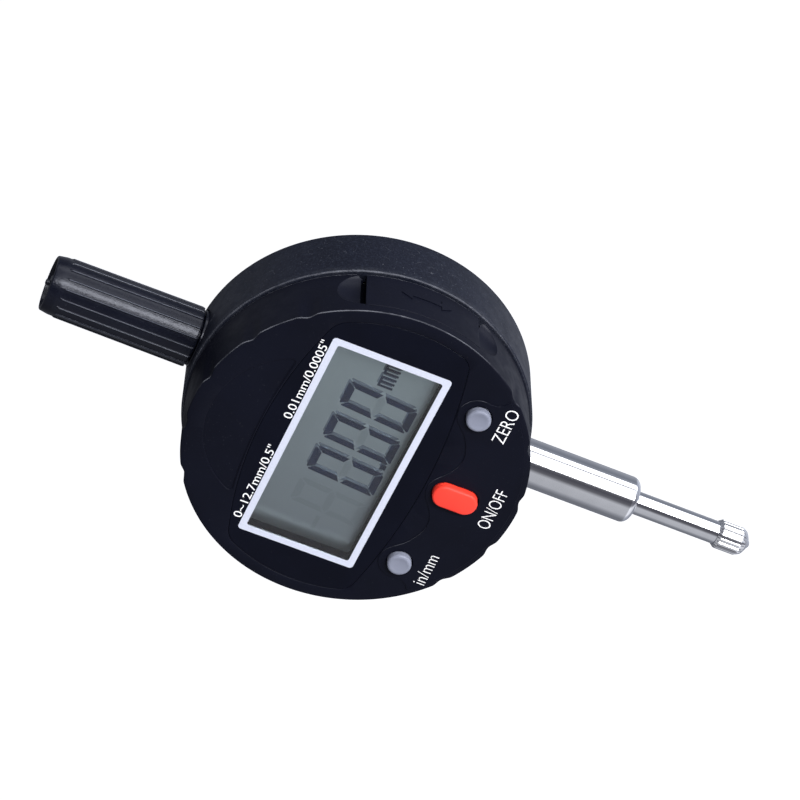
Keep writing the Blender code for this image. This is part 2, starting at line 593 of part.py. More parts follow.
def spindle_group():
    slide = joint_empty("spindle_slide", (0, SPINDLE_Y, 0))
    on_axis = (0, SPINDLE_Y)
    rod("spindle", SPINDLE_R, SPINDLE_Z, "polished_steel", on_axis, samples=24, chamfer=0.3, parent=slide)

    def knurled(radius):
        return lambda angle: radius - (KNURL_DEPTH if round(angle / KNURL_PITCH_DEG) % 2 else 0.0)

    low, high = CONTACT_Z
    turned("contact_point", [
        (1.25, low + 0.75), (1.85, low + 1.1), (2.3, low + 1.6), (knurled(CONTACT_R), low + 2.1),
        (knurled(CONTACT_R), high - 0.4), (CONTACT_R - 0.4, high),
    ], "polished_steel", at=(0, SPINDLE_Y, 0), samples=36, parent=slide)
    turned("contact_ball", [(0.0, low), (0.45, low + 0.1), (0.8, low + 0.35), (0.95, low + 0.62)],
           "polished_steel", at=(0, SPINDLE_Y, 0), samples=20, parent=slide)
    slider = block("slider_block", SLIDER_X, SLIDER_Y, SLIDER_Z, "zinc_frame", parent=slide)
    combine(
        slider,
        rod("cut_slider_bore", SPINDLE_R + 0.2, (-20, 20), None, on_axis, samples=24, parent=slide),
        rod("cut_clamp_bore", 0.9, (1.0, 6.0), None, (SPINDLE_Y, -9.5), "X", 12, parent=slide),
    )
    rod("clamp_screw", 0.7, (SPINDLE_R + 0.45, 4.9), "dark_screw", (SPINDLE_Y, -9.5), "X", 12, parent=slide)
    block("scale_strip", (-3.4, 4.3), (-12.1, SLIDER_Y[0] - 0.2), (-13.0, 1.5), "green_board", parent=slide)
    rod("guide_pin", GUIDE_PIN_R, (-10.2, SLIDER_X[0] - 0.2), "polished_steel",
        (GUIDE_PIN_Y, GUIDE_PIN_Z), "X", 16, parent=slide)


def return_spring():
    """An open helix round the spindle, between the slider block and the frame's upper bar."""
    points_a_turn = 10
    count = SPRING_TURNS * points_a_turn
    low, high = SPRING_Z[0] + SPRING_WIRE_R, SPRING_Z[1] - SPRING_WIRE_R
    curve = bpy.data.curves.new("return_spring", "CURVE")
    curve.dimensions = "3D"
    curve.bevel_depth = SPRING_WIRE_R * MM
    curve.bevel_resolution = 1
    curve.use_fill_caps = True
    spline = curve.splines.new("POLY")
    spline.points.add(count)
    for index, point in enumerate(spline.points):
        turn = tau * index / points_a_turn
        place = (SPRING_COIL_R * cos(turn), SPRING_COIL_R * sin(turn), low + (high - low) * index / count)
        point.co = (*(value * MM for value in place), 1.0)
    curve.materials.append(material("spring_steel"))
    spring = bpy.data.objects.new("return_spring", curve)
    spring.location = (0.0, SPINDLE_Y * MM, 0.0)
    bpy.context.scene.collection.objects.link(spring)


def battery():
    place = (BATTERY[0], 0, BATTERY[1])
    tube("holder_wall", HOLDER_R - HOLDER_WALL, HOLDER_R, (-9.9, HOLDER_Y[1]), None, BATTERY, "Y", 32)
    wall = bpy.data.objects["holder_wall"]
    holder = rod("battery_holder", HOLDER_R, (HOLDER_Y[0], -9.6), "black_plastic", BATTERY, "Y", 32)
    combine(holder, wall, operation="UNION")
    rod("battery_contact_negative", 3.5, (-9.4, -9.15), "gold_contact", BATTERY, "Y", 16)
    rod("battery_cell", CELL_R, CELL_Y, "polished_steel", BATTERY, "Y", 32, chamfer=0.4)
    turn = joint_empty("battery_lid_turn", place)
    rings = [(LID_PLUG_R, LID_STEP_Y - 1), (LID_PLUG_R, LID_STEP_Y), (LID_R, LID_STEP_Y), (LID_R, 0.0)]
    lid = turned("battery_lid", rings, "black_plastic", at=place, axis="Y", samples=40, parent=turn)
    slot = block("cut_coin_slot", (BATTERY[0] - COIN_SLOT_L / 2, BATTERY[0] + COIN_SLOT_L / 2),
                 (-COIN_SLOT_DEEP, CUT_OVER), (BATTERY[1] - COIN_SLOT_W / 2, BATTERY[1] + COIN_SLOT_W / 2),
                 None, parent=turn)
    combine(lid, slot)
    rod("battery_contact_positive", 4.2, (-3.4, -2.85), "gold_contact", BATTERY, "Y", 16, parent=turn)
    tube("battery_lid_seal", LID_PLUG_R + 0.2, 6.4, (-2.5, -1.8), "rubber", BATTERY, "Y", 32, parent=turn)


def port_cover():
    slide = joint_empty("port_cover_slide", (FRONT_R, SCOOP_Y, 0))
    outline = sector(WALL_INNER_R, FRONT_R, PORT_HALF_DEG)
    cover = slab("port_cover", outline, PORT_Y, "black_plastic", parent=slide)
    tongue = block("port_tongue", *PORT_TONGUE, None, parent=slide)
    combine(cover, tongue, operation="UNION")


clear_scene()
front_housing()
rear_housing()
back_cover()
case_seal()
display()
boards()
keys()
case_screws()
chassis()
dust_cap()
spindle_group()
return_spring()
battery()
port_cover()
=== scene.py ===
"""Looks of a digital dial indicator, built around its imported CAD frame.

The frame of reference is the CAD's: +Z up the spindle to the dust cap, -Y the reading face,
+X the reading direction. Lengths here are in millimetres until a mesh is made.
"""

from math import acos, atan2, cos, hypot, pi, radians, sin, sqrt, tan, tau

import bmesh
import bpy
from mathutils import Matrix, Vector


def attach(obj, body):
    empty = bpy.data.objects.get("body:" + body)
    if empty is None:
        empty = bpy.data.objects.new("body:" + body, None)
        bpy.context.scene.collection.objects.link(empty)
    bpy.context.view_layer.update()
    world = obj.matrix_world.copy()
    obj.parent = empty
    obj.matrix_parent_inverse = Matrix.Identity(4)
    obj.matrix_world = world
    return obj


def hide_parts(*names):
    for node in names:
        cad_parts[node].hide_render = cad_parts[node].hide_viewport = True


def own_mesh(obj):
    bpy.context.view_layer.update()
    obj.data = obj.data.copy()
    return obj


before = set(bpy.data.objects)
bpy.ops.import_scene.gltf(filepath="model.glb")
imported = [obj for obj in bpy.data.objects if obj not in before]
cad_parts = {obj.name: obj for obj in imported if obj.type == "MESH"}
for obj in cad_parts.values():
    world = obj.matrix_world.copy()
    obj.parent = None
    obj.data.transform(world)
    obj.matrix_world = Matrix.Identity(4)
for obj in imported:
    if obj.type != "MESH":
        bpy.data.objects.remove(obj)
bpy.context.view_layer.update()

MM = 0.001
SPINDLE_Y = -7.3
FACE_Y = -25.4
LAND_Y = FACE_Y - 0.14
SEAM_FRONT_Y, SEAM_REAR_Y = -14.5, -14.2
FRONT_R, REAR_R = 28.0, 28.56
WALL_R = 26.4
LENS_FRONT_Y, LENS_BACK_Y = -25.35, -24.35
DISPLAY_Z = 2.1
WINDOW, WELL = (37.5, 17.9), (38.5, 18.9)
LCD_Y = -22.9
INK = 0.02
ZERO_KEY, UNIT_KEY, POWER_KEY = (15.4, -14.5), (-15.4, -14.5), (0.0, -17.4)
ROUND_KEY_R = 2.0
POWER_KEY_W, POWER_KEY_H = 4.1, 7.6
KEY_FRONT_Y = -26.85
POSTS = ((15.7, 18.7), (-15.7, 18.7), (8.9, -22.7), (-8.9, -22.7))
BATTERY = (12.5, -8.5)
PORT_HALF_DEG = 20.3
CAP_BASE_Z, CAP_BASE_R = 29.35, 5.0
CAP_TAPER = 0.13 / 22.05  # how much the cap's radius shrinks per millimetre of height

# Directions and shades of wear, and of painted highlights
# The side that edges must face to get a painted highlight
HIGHLIGHT_SIDE = (0.87, -0.18, 0.46)
GLOSS_TINT = (0.86, 0.89, 1.0, 1.0)
# Pale colour for scuffed wear, and also for painted edge highlights
SCUFF_AND_HIGHLIGHT = (0.26, 0.27, 0.31)
DUST = (0.20, 0.21, 0.24)
GRIT = (0.052, 0.064, 0.098)
# Painted highlight colour for the crests of the cap's ribs
RIB_SHINE = (0.10, 0.11, 0.14)


# Materials


def node(tree, kind, inputs=None, **settings):
    """Adds a shader node, with each input linked to a socket or set to a value."""
    made = tree.nodes.new("ShaderNode" + kind)
    for key, value in settings.items():
        setattr(made, key, value)
    for key, value in (inputs or {}).items():
        if isinstance(value, bpy.types.NodeSocket):
            tree.links.new(value, made.inputs[key])
        else:
            made.inputs[key].default_value = value
    return made


def start_material(name, roughness, metallic=0.0, specular=0.5):
    made = bpy.data.materials.new(name)
    made.use_nodes = True
    tree = made.node_tree
    shader = tree.nodes["Principled BSDF"]
    shader.inputs["Roughness"].default_value = roughness
    shader.inputs["Metallic"].default_value = metallic
    shader.inputs["Specular IOR Level"].default_value = specular
    coords = node(tree, "TexCoord").outputs["Object"]
    return made, tree, shader, coords


def noise(tree, coords, scale, detail, roughness=0.6):
    inputs = {"Vector": coords, "Scale": scale, "Detail": detail, "Roughness": roughness}
    return node(tree, "TexNoise", inputs).outputs["Fac"]


def spread(tree, value, low, high, to_low, to_high):
    """Maps low..high to to_low..to_high, smoothly and within those limits."""
    inputs = {"Value": value, "From Min": low, "From Max": high, "To Min": to_low, "To Max": to_high}
    return node(tree, "MapRange", inputs, interpolation_type="SMOOTHSTEP").outputs["Result"]


def math_node(tree, operation, first, second=0.0):
    return node(tree, "Math", {0: first, 1: second}, operation=operation).outputs["Value"]


def vector_node(tree, operation, first, second):
    """A vector operation on first and second, the second being a number for SCALE; its result is a vector."""
    named = {0: first, "Scale" if operation == "SCALE" else 1: second}
    return node(tree, "VectorMath", named, operation=operation).outputs["Vector"]


def multiply(tree, first, *others):
    for other in others:
        first = math_node(tree, "MULTIPLY", first, other)
    return first


def apart(tree, value, target):
    """How far a value is from its target."""
    return math_node(tree, "ABSOLUTE", math_node(tree, "SUBTRACT", value, target))


def hypotenuse(tree, first, second):
    squares = math_node(tree, "ADD", multiply(tree, first, first), multiply(tree, second, second))
    return math_node(tree, "SQRT", squares)


def split_place(tree, vector):
    return node(tree, "SeparateXYZ", {"Vector": vector}).outputs


def blend_colours(tree, share, first, second):
    made = node(tree, "Mix", {"Factor": share}, data_type="RGBA")
    for index, value in ((6, first), (7, second)):
        if isinstance(value, bpy.types.NodeSocket):
            tree.links.new(value, made.inputs[index])
        else:
            made.inputs[index].default_value = (*value, 1.0)
    return made.outputs[2]


def wire(tree, shader, colour, roughness=None, height=None, bump=0.2):
    """Links the finished colour, roughness and bump height to the shader."""
    if colour:
        tree.links.new(colour, shader.inputs["Base Color"])
    if roughness:
        tree.links.new(roughness, shader.inputs["Roughness"])
    if height:
        made = node(tree, "Bump", {"Height": height, "Strength": bump, "Distance": 0.02 * MM})
        tree.links.new(made.outputs["Normal"], shader.inputs["Normal"])


def hair_scratches(tree, coords, strength):
    wander = apart(tree, noise(tree, coords, 210.0, 1.0), 0.5)
    patchy = spread(tree, noise(tree, coords, 330.0, 2.0), 0.56, 0.66, 0.0, strength)
    return multiply(tree, spread(tree, wander, 0.0, 0.006, 1.0, 0.0), patchy)


def scuff_edges(tree, coords, shade, edges):
    """Scuffs edges pale along their length, each given as (depth, reach, strength)."""
    depth_here = split_place(tree, coords)["Y"]
    patches = spread(tree, noise(tree, coords, 260.0, 3.0, 0.6), 0.42, 0.66, 0.25, 1.0)
    specks = spread(tree, noise(tree, coords, 11000.0, 2.0, 0.7), 0.42, 0.66, 0.1, 1.0)
    for depth, reach, strength in edges:
        line = spread(tree, apart(tree, depth_here, depth * MM), reach * 0.3 * MM, reach * MM, 1.0, 0.0)
        shade = blend_colours(tree, multiply(tree, line, patches, specks, strength), shade, SCUFF_AND_HIGHLIGHT)
    return shade


def paint_edge_highlights(tree, coords, shade, edges):
    """Paints pale highlights on edges where they face the upper side, as if lit from there.

    Each edge is (depth, reach, strength, least_radius, most_radius).
    """
    place = split_place(tree, coords)
    radius = hypotenuse(tree, place["X"], place["Z"])
    facing = node(tree, "VectorMath", {0: node(tree, "NewGeometry").outputs["Normal"], 1: HIGHLIGHT_SIDE},
                  operation="DOT_PRODUCT").outputs["Value"]
    patches = spread(tree, noise(tree, coords, 420.0, 3.0, 0.6), 0.36, 0.6, 0.35, 1.0)
    lit = multiply(tree, spread(tree, facing, 0.42, 0.85, 0.0, 1.0), patches)
    for depth, reach, strength, least_radius, most_radius in edges:
        line = spread(tree, apart(tree, place["Y"], depth * MM), reach * 0.5 * MM, reach * MM, 1.0, 0.0)
        beyond = math_node(tree, "GREATER_THAN", radius, least_radius * MM)
        within = math_node(tree, "LESS_THAN", radius, most_radius * MM)
        shade = blend_colours(tree, multiply(tree, line, beyond, within, lit, strength), shade, SCUFF_AND_HIGHLIGHT)
    return shade


def rib_crest_highlights(tree, coords, strength):
    """The share of painted highlight on the crests of the cap's ribs, told by their distance from the
    spindle's axis.
    """
    place = split_place(tree, vector_node(tree, "SUBTRACT", coords, (0.0, SPINDLE_Y * MM, 0.0)))
    untapered = math_node(tree, "ADD", hypotenuse(tree, place["X"], place["Y"]),
                          multiply(tree, place["Z"], CAP_TAPER))
    skin = CAP_BASE_R + CAP_BASE_Z * CAP_TAPER
    return spread(tree, untapered, (skin + 0.14) * MM, (skin + 0.19) * MM, 0.0, strength)


def plastic(name, colour, roughness, grain, bump, specular=0.5, dust=0.0, speckle=0.0, scratched=0.0,
            worn=(), edge_highlights=(), rib_highlights=0.0):
    """Moulded plastic: fine spark grain and a slow shade drift, then the wear and the painted highlights that
    are asked for.
    """
    made, tree, shader, coords = start_material(name, roughness, specular=specular)
    shader.inputs["Specular Tint"].default_value = GLOSS_TINT
    drift = spread(tree, noise(tree, coords, 90.0, 3.0), 0.3, 0.7, 0.0, 1.0)
    lighter = [min(1.0, value * 1.14) for value in colour]
    darker = [value * 0.88 for value in colour]
    shade = blend_colours(tree, drift, darker, lighter)
    if speckle:
        grit = spread(tree, noise(tree, coords, 2400.0, 3.0, 0.7), 0.44, 0.72, 0.0, speckle)
        shade = blend_colours(tree, grit, shade, GRIT)
    if dust:
        motes = spread(tree, noise(tree, coords, 4300.0, 0.0, 0.4), 0.80, 0.84, 0.0, dust)
        shade = blend_colours(tree, motes, shade, DUST)
    if scratched:
        shade = blend_colours(tree, hair_scratches(tree, coords, scratched), shade, DUST)
    if worn:
        shade = scuff_edges(tree, coords, shade, worn)
    if edge_highlights:
        shade = paint_edge_highlights(tree, coords, shade, edge_highlights)
    if rib_highlights:
        shade = blend_colours(tree, rib_crest_highlights(tree, coords, rib_highlights), shade, RIB_SHINE)
    blotches = noise(tree, coords, 420.0, 5.0)
    rough = spread(tree, blotches, 0.3, 0.7, roughness * 0.9, min(1.0, roughness * 1.12))
    wire(tree, shader, shade, rough, noise(tree, coords, grain, 2.0, 0.5), bump)
    return made


def metal(name, colour, roughness, stretch, bump, tarnish=0.12):
    """Worked metal with fine marks that run across the axis with the largest stretch."""
    made, tree, shader, coords = start_material(name, roughness, metallic=1.0)
    mapped = node(tree, "Mapping", {"Vector": coords, "Scale": stretch}).outputs["Vector"]
    marks = noise(tree, mapped, 900.0, 6.0, 0.7)
    stain = noise(tree, coords, 260.0, 5.0, 0.6)
    dull = [value * (1.0 - tarnish) for value in colour]
    shade = blend_colours(tree, spread(tree, stain, 0.35, 0.7, 0.0, 1.0), colour, dull)
    rough = spread(tree, marks, 0.25, 0.75, roughness * 0.7, roughness * 1.5)
    wire(tree, shader, shade, rough, marks, bump)
    return made


def colour_ramp(tree, value, stops):
    made = node(tree, "ValToRGB", {"Fac": value})
    elements = made.color_ramp.elements
    while len(elements) < len(stops):
        elements.new(0.5)
    for element, (position, colour) in zip(elements, stops):
        element.position = position
        element.color = (*colour, 1.0)
    return made.outputs["Color"]


def print_ink(name, colour, specular=0.4):
    made, tree, shader, coords = start_material(name, 0.42, specular=specular)
    mottle = spread(tree, noise(tree, coords, 2600.0, 3.0), 0.3, 0.7, 0.0, 1.0)
    shade = blend_colours(tree, mottle, colour, [value * 0.93 for value in colour])
    wire(tree, shader, shade, None, noise(tree, coords, 9000.0, 2.0), 0.1)
    return made


def board_lacquer():
    made, tree, shader, coords = start_material("board_lacquer", 0.35)
    tracks = node(tree, "TexBrick", {
        "Vector": coords, "Scale": 420.0, "Mortar Size": 0.06,
        "Color1": (0.012, 0.12, 0.05, 1.0), "Color2": (0.016, 0.15, 0.06, 1.0),
        "Mortar": (0.03, 0.26, 0.11, 1.0),
    })
    wire(tree, shader, tracks.outputs["Color"], None, tracks.outputs["Fac"], 0.15)
    return made


def display_face(name="display_face", share=1.0):
    """The liquid crystal panel: a satin grey-green reflector, with share of its full shade."""
    made, tree, shader, coords = start_material(name, 0.34, metallic=0.94)
    # Painted shade: the panel darkens towards its -X end and lightens towards +X
    painted_shade_gradient = spread(tree, split_place(tree, coords)["X"], -0.020, 0.020, 0.0, 1.0)
    shade = blend_colours(tree, painted_shade_gradient, (0.200, 0.236, 0.258), (0.262, 0.317, 0.334))
    mottle = spread(tree, noise(tree, coords, 5200.0, 3.0), 0.3, 0.7, 0.0, 0.10)
    shade = blend_colours(tree, mottle, shade, (0.27, 0.32, 0.34))
    shade = vector_node(tree, "SCALE", shade, share)
    wire(tree, shader, shade, None, noise(tree, coords, 8000.0, 2.0), 0.04)
    return made


def clear_pane():
    made, tree, shader, coords = start_material("clear_pane", 0.03, specular=0.32)
    shader.inputs["Base Color"].default_value = (0.97, 0.98, 0.98, 1.0)
    shader.inputs["Transmission Weight"].default_value = 1.0
    shader.inputs["IOR"].default_value = 1.45
    wire(tree, shader, None, None, noise(tree, coords, 300.0, 2.0), 0.01)
    return made


def floor_paper():
    made, tree, shader, coords = start_material("floor_paper", 0.9, specular=0.1)
    mottle = spread(tree, noise(tree, coords, 40.0, 4.0), 0.3, 0.7, 0.0, 1.0)
    shade = blend_colours(tree, mottle, (0.86, 0.86, 0.86), (0.88, 0.88, 0.88))
    shader.inputs["Emission Color"].default_value = (1.0, 1.0, 1.0, 1.0)
    shader.inputs["Emission Strength"].default_value = 0.80
    wire(tree, shader, shade)
    return made


def make_materials():
    face_rim, outer_rim = FACE_Y - 0.09, FACE_Y + 0.18
    # Painted highlights on the land's edge, the outer rim and the seam, where they face the upper side
    front_edge_highlights = (
        (face_rim, 0.045, 0.26, 0.0, 23.6),
        (outer_rim, 0.10, 0.40, 27.2, 40.0),
        (SEAM_FRONT_Y - 0.1, 0.10, 0.30, 27.6, 40.0),
    )
    rear_scuffs = (
        (SEAM_REAR_Y + 0.05, 0.05, 0.45),
        (SEAM_REAR_Y + 0.2, 1.3, 0.08),
        (-2.9, 0.4, 0.2),
    )
    return {
        "black_plastic": plastic("shell_plastic", (0.0028, 0.0034, 0.0084), 0.50, 5200.0, 0.30, 0.11,
                                 dust=0.06, worn=((SEAM_FRONT_Y - 0.05, 0.12, 0.30),), edge_highlights=front_edge_highlights),
        "scoop_plastic": plastic("scoop_plastic", (0.0030, 0.0036, 0.0088), 0.42, 5200.0, 0.12, 0.16),
        "cap_plastic": plastic("cap_plastic", (0.0026, 0.0032, 0.0076), 0.25, 2300.0, 1.30, 0.29, dust=0.06,
                               # painted highlight lines along the rib crests
                               speckle=0.04, rib_highlights=0.45),
        "rear_casting": plastic("casting_paint", (0.0026, 0.0037, 0.0098), 0.50, 2600.0, 1.2, 0.25, dust=0.35,
                                speckle=0.16, scratched=0.25, worn=rear_scuffs,
                                # painted highlight along the rear shell's front edge
                                edge_highlights=((SEAM_REAR_Y + 0.1, 0.12, 0.25, 28.0, 40.0),)),
        "lens_print": plastic("lens_back_print", (0.0024, 0.0030, 0.0076), 0.22, 9000.0, 0.03, 0.10,
                              dust=0.05),
        "chip_black": plastic("chip_resin", (0.012, 0.012, 0.012), 0.5, 5200.0, 0.35),
        "white_plastic": plastic("white_moulding", (0.66, 0.66, 0.63), 0.45, 5200.0, 0.15),
        "grey_key": plastic("grey_key_plastic", (0.215, 0.230, 0.295), 0.42, 5200.0, 0.12, 0.3),
        "red_key": plastic("red_key_plastic", (0.94, 0.048, 0.029), 0.48, 5200.0, 0.10, 0.3),
        "rubber": plastic("seal_rubber", (0.018, 0.018, 0.019), 0.75, 3200.0, 0.4, 0.3),
        # Near-black foam without gloss: the real window gasket, and pads in the port's side slots that are
        # painted shade for the slots' dark depth
        "gasket": plastic("foam_gasket_and_painted_shade", (0.0012, 0.0014, 0.0026), 0.9, 3200.0, 0.1, 0.0),
        "polished_steel": metal("polished_steel", (0.80, 0.81, 0.84), 0.07, (1.0, 1.0, 26.0), 0.012, 0.06),
        "fluted_steel": metal("fluted_steel", (0.86, 0.87, 0.89), 0.14, (1.0, 1.0, 12.0), 0.03, 0.06),
        "spring_steel": metal("spring_wire", (0.52, 0.52, 0.54), 0.28, (12.0, 12.0, 12.0), 0.05),
        "dark_screw": metal("blackened_screw", (0.13, 0.13, 0.14), 0.36, (3.0, 3.0, 3.0), 0.10, 0.3),
        "zinc_frame": metal("cast_zinc", (0.42, 0.43, 0.45), 0.48, (1.5, 1.5, 1.5), 0.30, 0.25),
        "bronze": metal("bearing_bronze", (0.55, 0.34, 0.13), 0.34, (1.0, 1.0, 22.0), 0.08, 0.3),
        "gold_contact": metal("plated_contact", (0.84, 0.60, 0.22), 0.26, (2.0, 2.0, 2.0), 0.05, 0.1),
        "green_board": board_lacquer(),
        "display_glass": display_face(),
        "label_white": print_ink("label_white", (0.92, 0.92, 0.93)),
        "border_white": print_ink("border_white", (0.62, 0.65, 0.77)),
        "segment_dark": print_ink("segment_dark", (0.004, 0.007, 0.020), 0.08),
        "segment_shadow": print_ink("segment_shadow", (0.052, 0.068, 0.088), 0.08),
        "segment_ghost": display_face("segment_ghost", 0.88),
        "pane": clear_pane(),
    }


# Outlines, as lists of points in one plane


def rounded(corners, closed=True, steps=5):
    """Rounds each (a, b, radius) corner of a line into an arc; a radius of 0 keeps it sharp."""
    points = []
    count = len(corners)
    for index, (a, b, radius) in enumerate(corners):
        if not radius or (not closed and index in (0, count - 1)):
            points.append((a, b))
            continue
        before, after = corners[index - 1], corners[(index + 1) % count]
        u = Vector((before[0] - a, before[1] - b)).normalized()
        v = Vector((after[0] - a, after[1] - b)).normalized()
        half = acos(max(-1.0, min(1.0, u.dot(v)))) / 2
        reach = radius / tan(half)
        centre = Vector((a, b)) + (u + v).normalized() * (radius / sin(half))
        first = Vector((a, b)) + u * reach - centre
        last = Vector((a, b)) + v * reach - centre
        sweep = first.angle_signed(last)
        for step in range(steps + 1):
            turn = -sweep * step / steps
            spot = centre + Matrix.Rotation(turn, 2) @ first
            points.append((spot.x, spot.y))
    return points


def circle(radius, centre):
    turns = [tau * step / 64 for step in range(64)]
    return [(centre[0] + radius * cos(turn), centre[1] + radius * sin(turn)) for turn in turns]


def rectangle(width, height, centre=(0.0, 0.0), corner=0.0, steps=6):
    x, z = width / 2, height / 2
    quadrants = ((1, 1), (-1, 1), (-1, -1), (1, -1))
    corners = [(centre[0] + a * x, centre[1] + b * z, corner) for a, b in quadrants]
    return rounded(corners, steps=steps)


def offset(outline, distance):
    """Moves a counter-clockwise outline outwards, keeping its number of points."""
    moved = []
    count = len(outline)
    for index, (x, z) in enumerate(outline):
        before, after = Vector(outline[index - 1]), Vector(outline[(index + 1) % count])
        here = Vector((x, z))
        first, second = (here - before).normalized(), (after - here).normalized()
        normal = Vector((first.y + second.y, -first.x - second.x)).normalized()
        share = max(0.4, normal.dot(Vector((first.y, -first.x))))
        moved.append((x + normal.x * distance / share, z + normal.y * distance / share))
    return moved


def bowed(start, end, bulge, steps):
    """Points from start towards end on the arc that bulges to the right of the way."""
    chord = hypot(end[0] - start[0], end[1] - start[1])
    ahead = ((end[0] - start[0]) / chord, (end[1] - start[1]) / chord)
    radius = (chord * chord / 4 + bulge * bulge) / (2 * bulge)
    points = []
    for step in range(steps):
        run = (step / steps - 0.5) * chord
        rise = sqrt(radius * radius - run * run) - (radius - bulge)
        run += chord / 2
        points.append((start[0] + ahead[0] * run + ahead[1] * rise,
                       start[1] + ahead[1] * run - ahead[0] * rise))
    return points


def barrel():
    """The lens outline: sides round the middle of the face, joined by a high arc and a shallow one."""
    corners = [(22.3, 12.85), (-22.3, 12.85), (-24.1, -9.1), (24.1, -9.1)]
    bulges = (3.6, 2.47, 2.95, 2.47)
    fillet, fillet_steps = 1.3, 8
    sides = []
    for index, corner in enumerate(corners):
        ends = corner, corners[(index + 1) % 4]
        side = bowed(*ends, bulges[index], 60) + [ends[1]]
        sides.append([p for p in side if min(hypot(p[0] - q[0], p[1] - q[1]) for q in ends) > fillet])
    outline = []
    for index, corner in enumerate(corners):
        start, end = sides[index - 1][-1], sides[index][0]
        for step in range(1, fillet_steps):
            t = step / fillet_steps
            outline.append(tuple((1 - t) ** 2 * a + 2 * t * (1 - t) * b + t * t * c
                                 for a, b, c in zip(start, corner, end)))
        outline += sides[index]
    return outline


def crescent():
    """The blank badge area above the lens: a lower arc along the lens and a high round one."""
    low_left, low_right = (-13.9, 15.75), (13.9, 15.75)
    top = bowed(low_right, low_left, 9.2, 48)
    bottom = [low_left] + bowed(low_right, low_left, 1.05, 24)[:0:-1]
    corners = [(x, z, 0.0) for x, z in top + bottom]
    corners[0] = (*low_right, 0.55)
    corners[len(top)] = (*low_left, 0.55)
    return rounded(corners)


def smooth_line(points, passes):
    """Cuts the corners of an open line, again and again, so that it runs smoothly."""
    for _ in range(passes):
        finer = [points[0]]
        for (ax, az), (bx, bz) in zip(points, points[1:]):
            finer.append((ax * 0.75 + bx * 0.25, az * 0.75 + bz * 0.25))
            finer.append((ax * 0.25 + bx * 0.75, az * 0.25 + bz * 0.75))
        points = finer + [points[-1]]
    return points


def key_land():
    """The raised ground of the keys: its upper edge rises over each key, and the rim bounds it below."""
    half = [
        (0.0, -12.5), (0.8, -12.6), (1.4, -12.8), (2.3, -13.3), (3.0, -13.95), (3.9, -14.6), (4.8, -15.1),
        (5.8, -15.5), (7.2, -15.65), (8.5, -15.4), (9.4, -15.0), (10.5, -14.45), (11.6, -13.7),
        (12.4, -12.85), (13.4, -11.75), (14.3, -11.2), (15.5, -11.0), (16.4, -11.1), (17.15, -11.5),
        (17.9, -12.1), (18.45, -12.95), (18.7, -14.0), (18.6, -15.1), (18.6, -16.1), (19.1, -17.2),
        (20.2, -17.9),
    ]
    upper = smooth_line([(-x, z) for x, z in reversed(half)] + half[1:], 2)
    radius = hypot(*half[-1])
    start, end = atan2(half[-1][1], half[-1][0]), atan2(half[-1][1], -half[-1][0])
    steps = 60
    turns = [start + (end - start) * k / steps for k in range(1, steps)]
    return upper[::-1] + [(radius * cos(t), radius * sin(t)) for t in turns[::-1]]


# Solids, from bmesh in millimetres


def place_in_scene(thing):
    bpy.context.scene.collection.objects.link(thing)
    return thing


def soften(mesh):
    mesh.shade_smooth()
    mesh.set_sharp_from_angle(angle=radians(30))


def make(name, bm, material=None):
    """Turns a bmesh in millimetres into an object, smooth but for its sharper edges."""
    bmesh.ops.recalc_face_normals(bm, faces=bm.faces)
    bm.transform(Matrix.Scale(MM, 4))
    mesh = bpy.data.meshes.new(name)
    bm.to_mesh(mesh)
    bm.free()
    soften(mesh)
    if material:
        mesh.materials.append(material)
    return place_in_scene(bpy.data.objects.new(name, mesh))


def lathe(name, profile, at=(0.0, 0.0, 0.0), axis="Z", samples=96, shape=None, closed=False, material=None):
    """Turns a (radius, height) profile about an axis through at.

    shape(radius, height, degrees) gives the radius at each point where it isn't round. A
    closed profile is a ring; an open one ends on the axis.
    """
    order = {"Z": (0, 1, 2), "Y": (0, 2, 1)}[axis]
    bm = bmesh.new()
    loops = []
    for radius, height in profile:
        loop = []
        for step in range(samples if radius > 1e-6 else 1):
            turn = tau * step / samples
            reach = shape(radius, height, 360.0 * step / samples) if shape and radius > 1e-6 else radius
            point = [0.0, 0.0, 0.0]
            for value, target in zip((reach * cos(turn), reach * sin(turn), height), order):
                point[target] = value
            loop.append(bm.verts.new([a + b for a, b in zip(point, at)]))
        loops.append(loop)
    for low, high in list(zip(loops, loops[1:])) + ([(loops[-1], loops[0])] if closed else []):
        if len(low) == len(high) == 1:
            continue
        for index in range(samples):
            corners = [low[index - 1], low[index]] if len(low) > 1 else [low[0]]
            corners += [high[index], high[index - 1]] if len(high) > 1 else [high[0]]
            bm.faces.new(corners)
    return make(name, bm, material)


def turned(name, corners, closed=False, steps=5, **options):
    """A lathe of (radius, height, rounding) corners."""
    return lathe(name, rounded(corners, closed, steps), closed=closed, **options)


def pin(name, radius, low, high, **options):
    """A plain cylinder from low to high on its axis."""
    return lathe(name, [(0, low), (radius, low), (radius, high), (0, high)], **options)


def skin(bm, loops):
    """Joins each loop of verts to the next, and closes both ends."""
    for low, high in zip(loops, loops[1:]):
        for index in range(len(low)):
            bm.faces.new((low[index - 1], low[index], high[index], high[index - 1]))
    bm.faces.new(loops[0])
    bm.faces.new(loops[-1])


def loft(name, sections, material=None):
    """Joins (outline, y) sections that have the same number of points, with flat ends."""
    bm = bmesh.new()
    skin(bm, [[bm.verts.new((x, y, z)) for x, z in outline] for outline, y in sections])
    return make(name, bm, material)


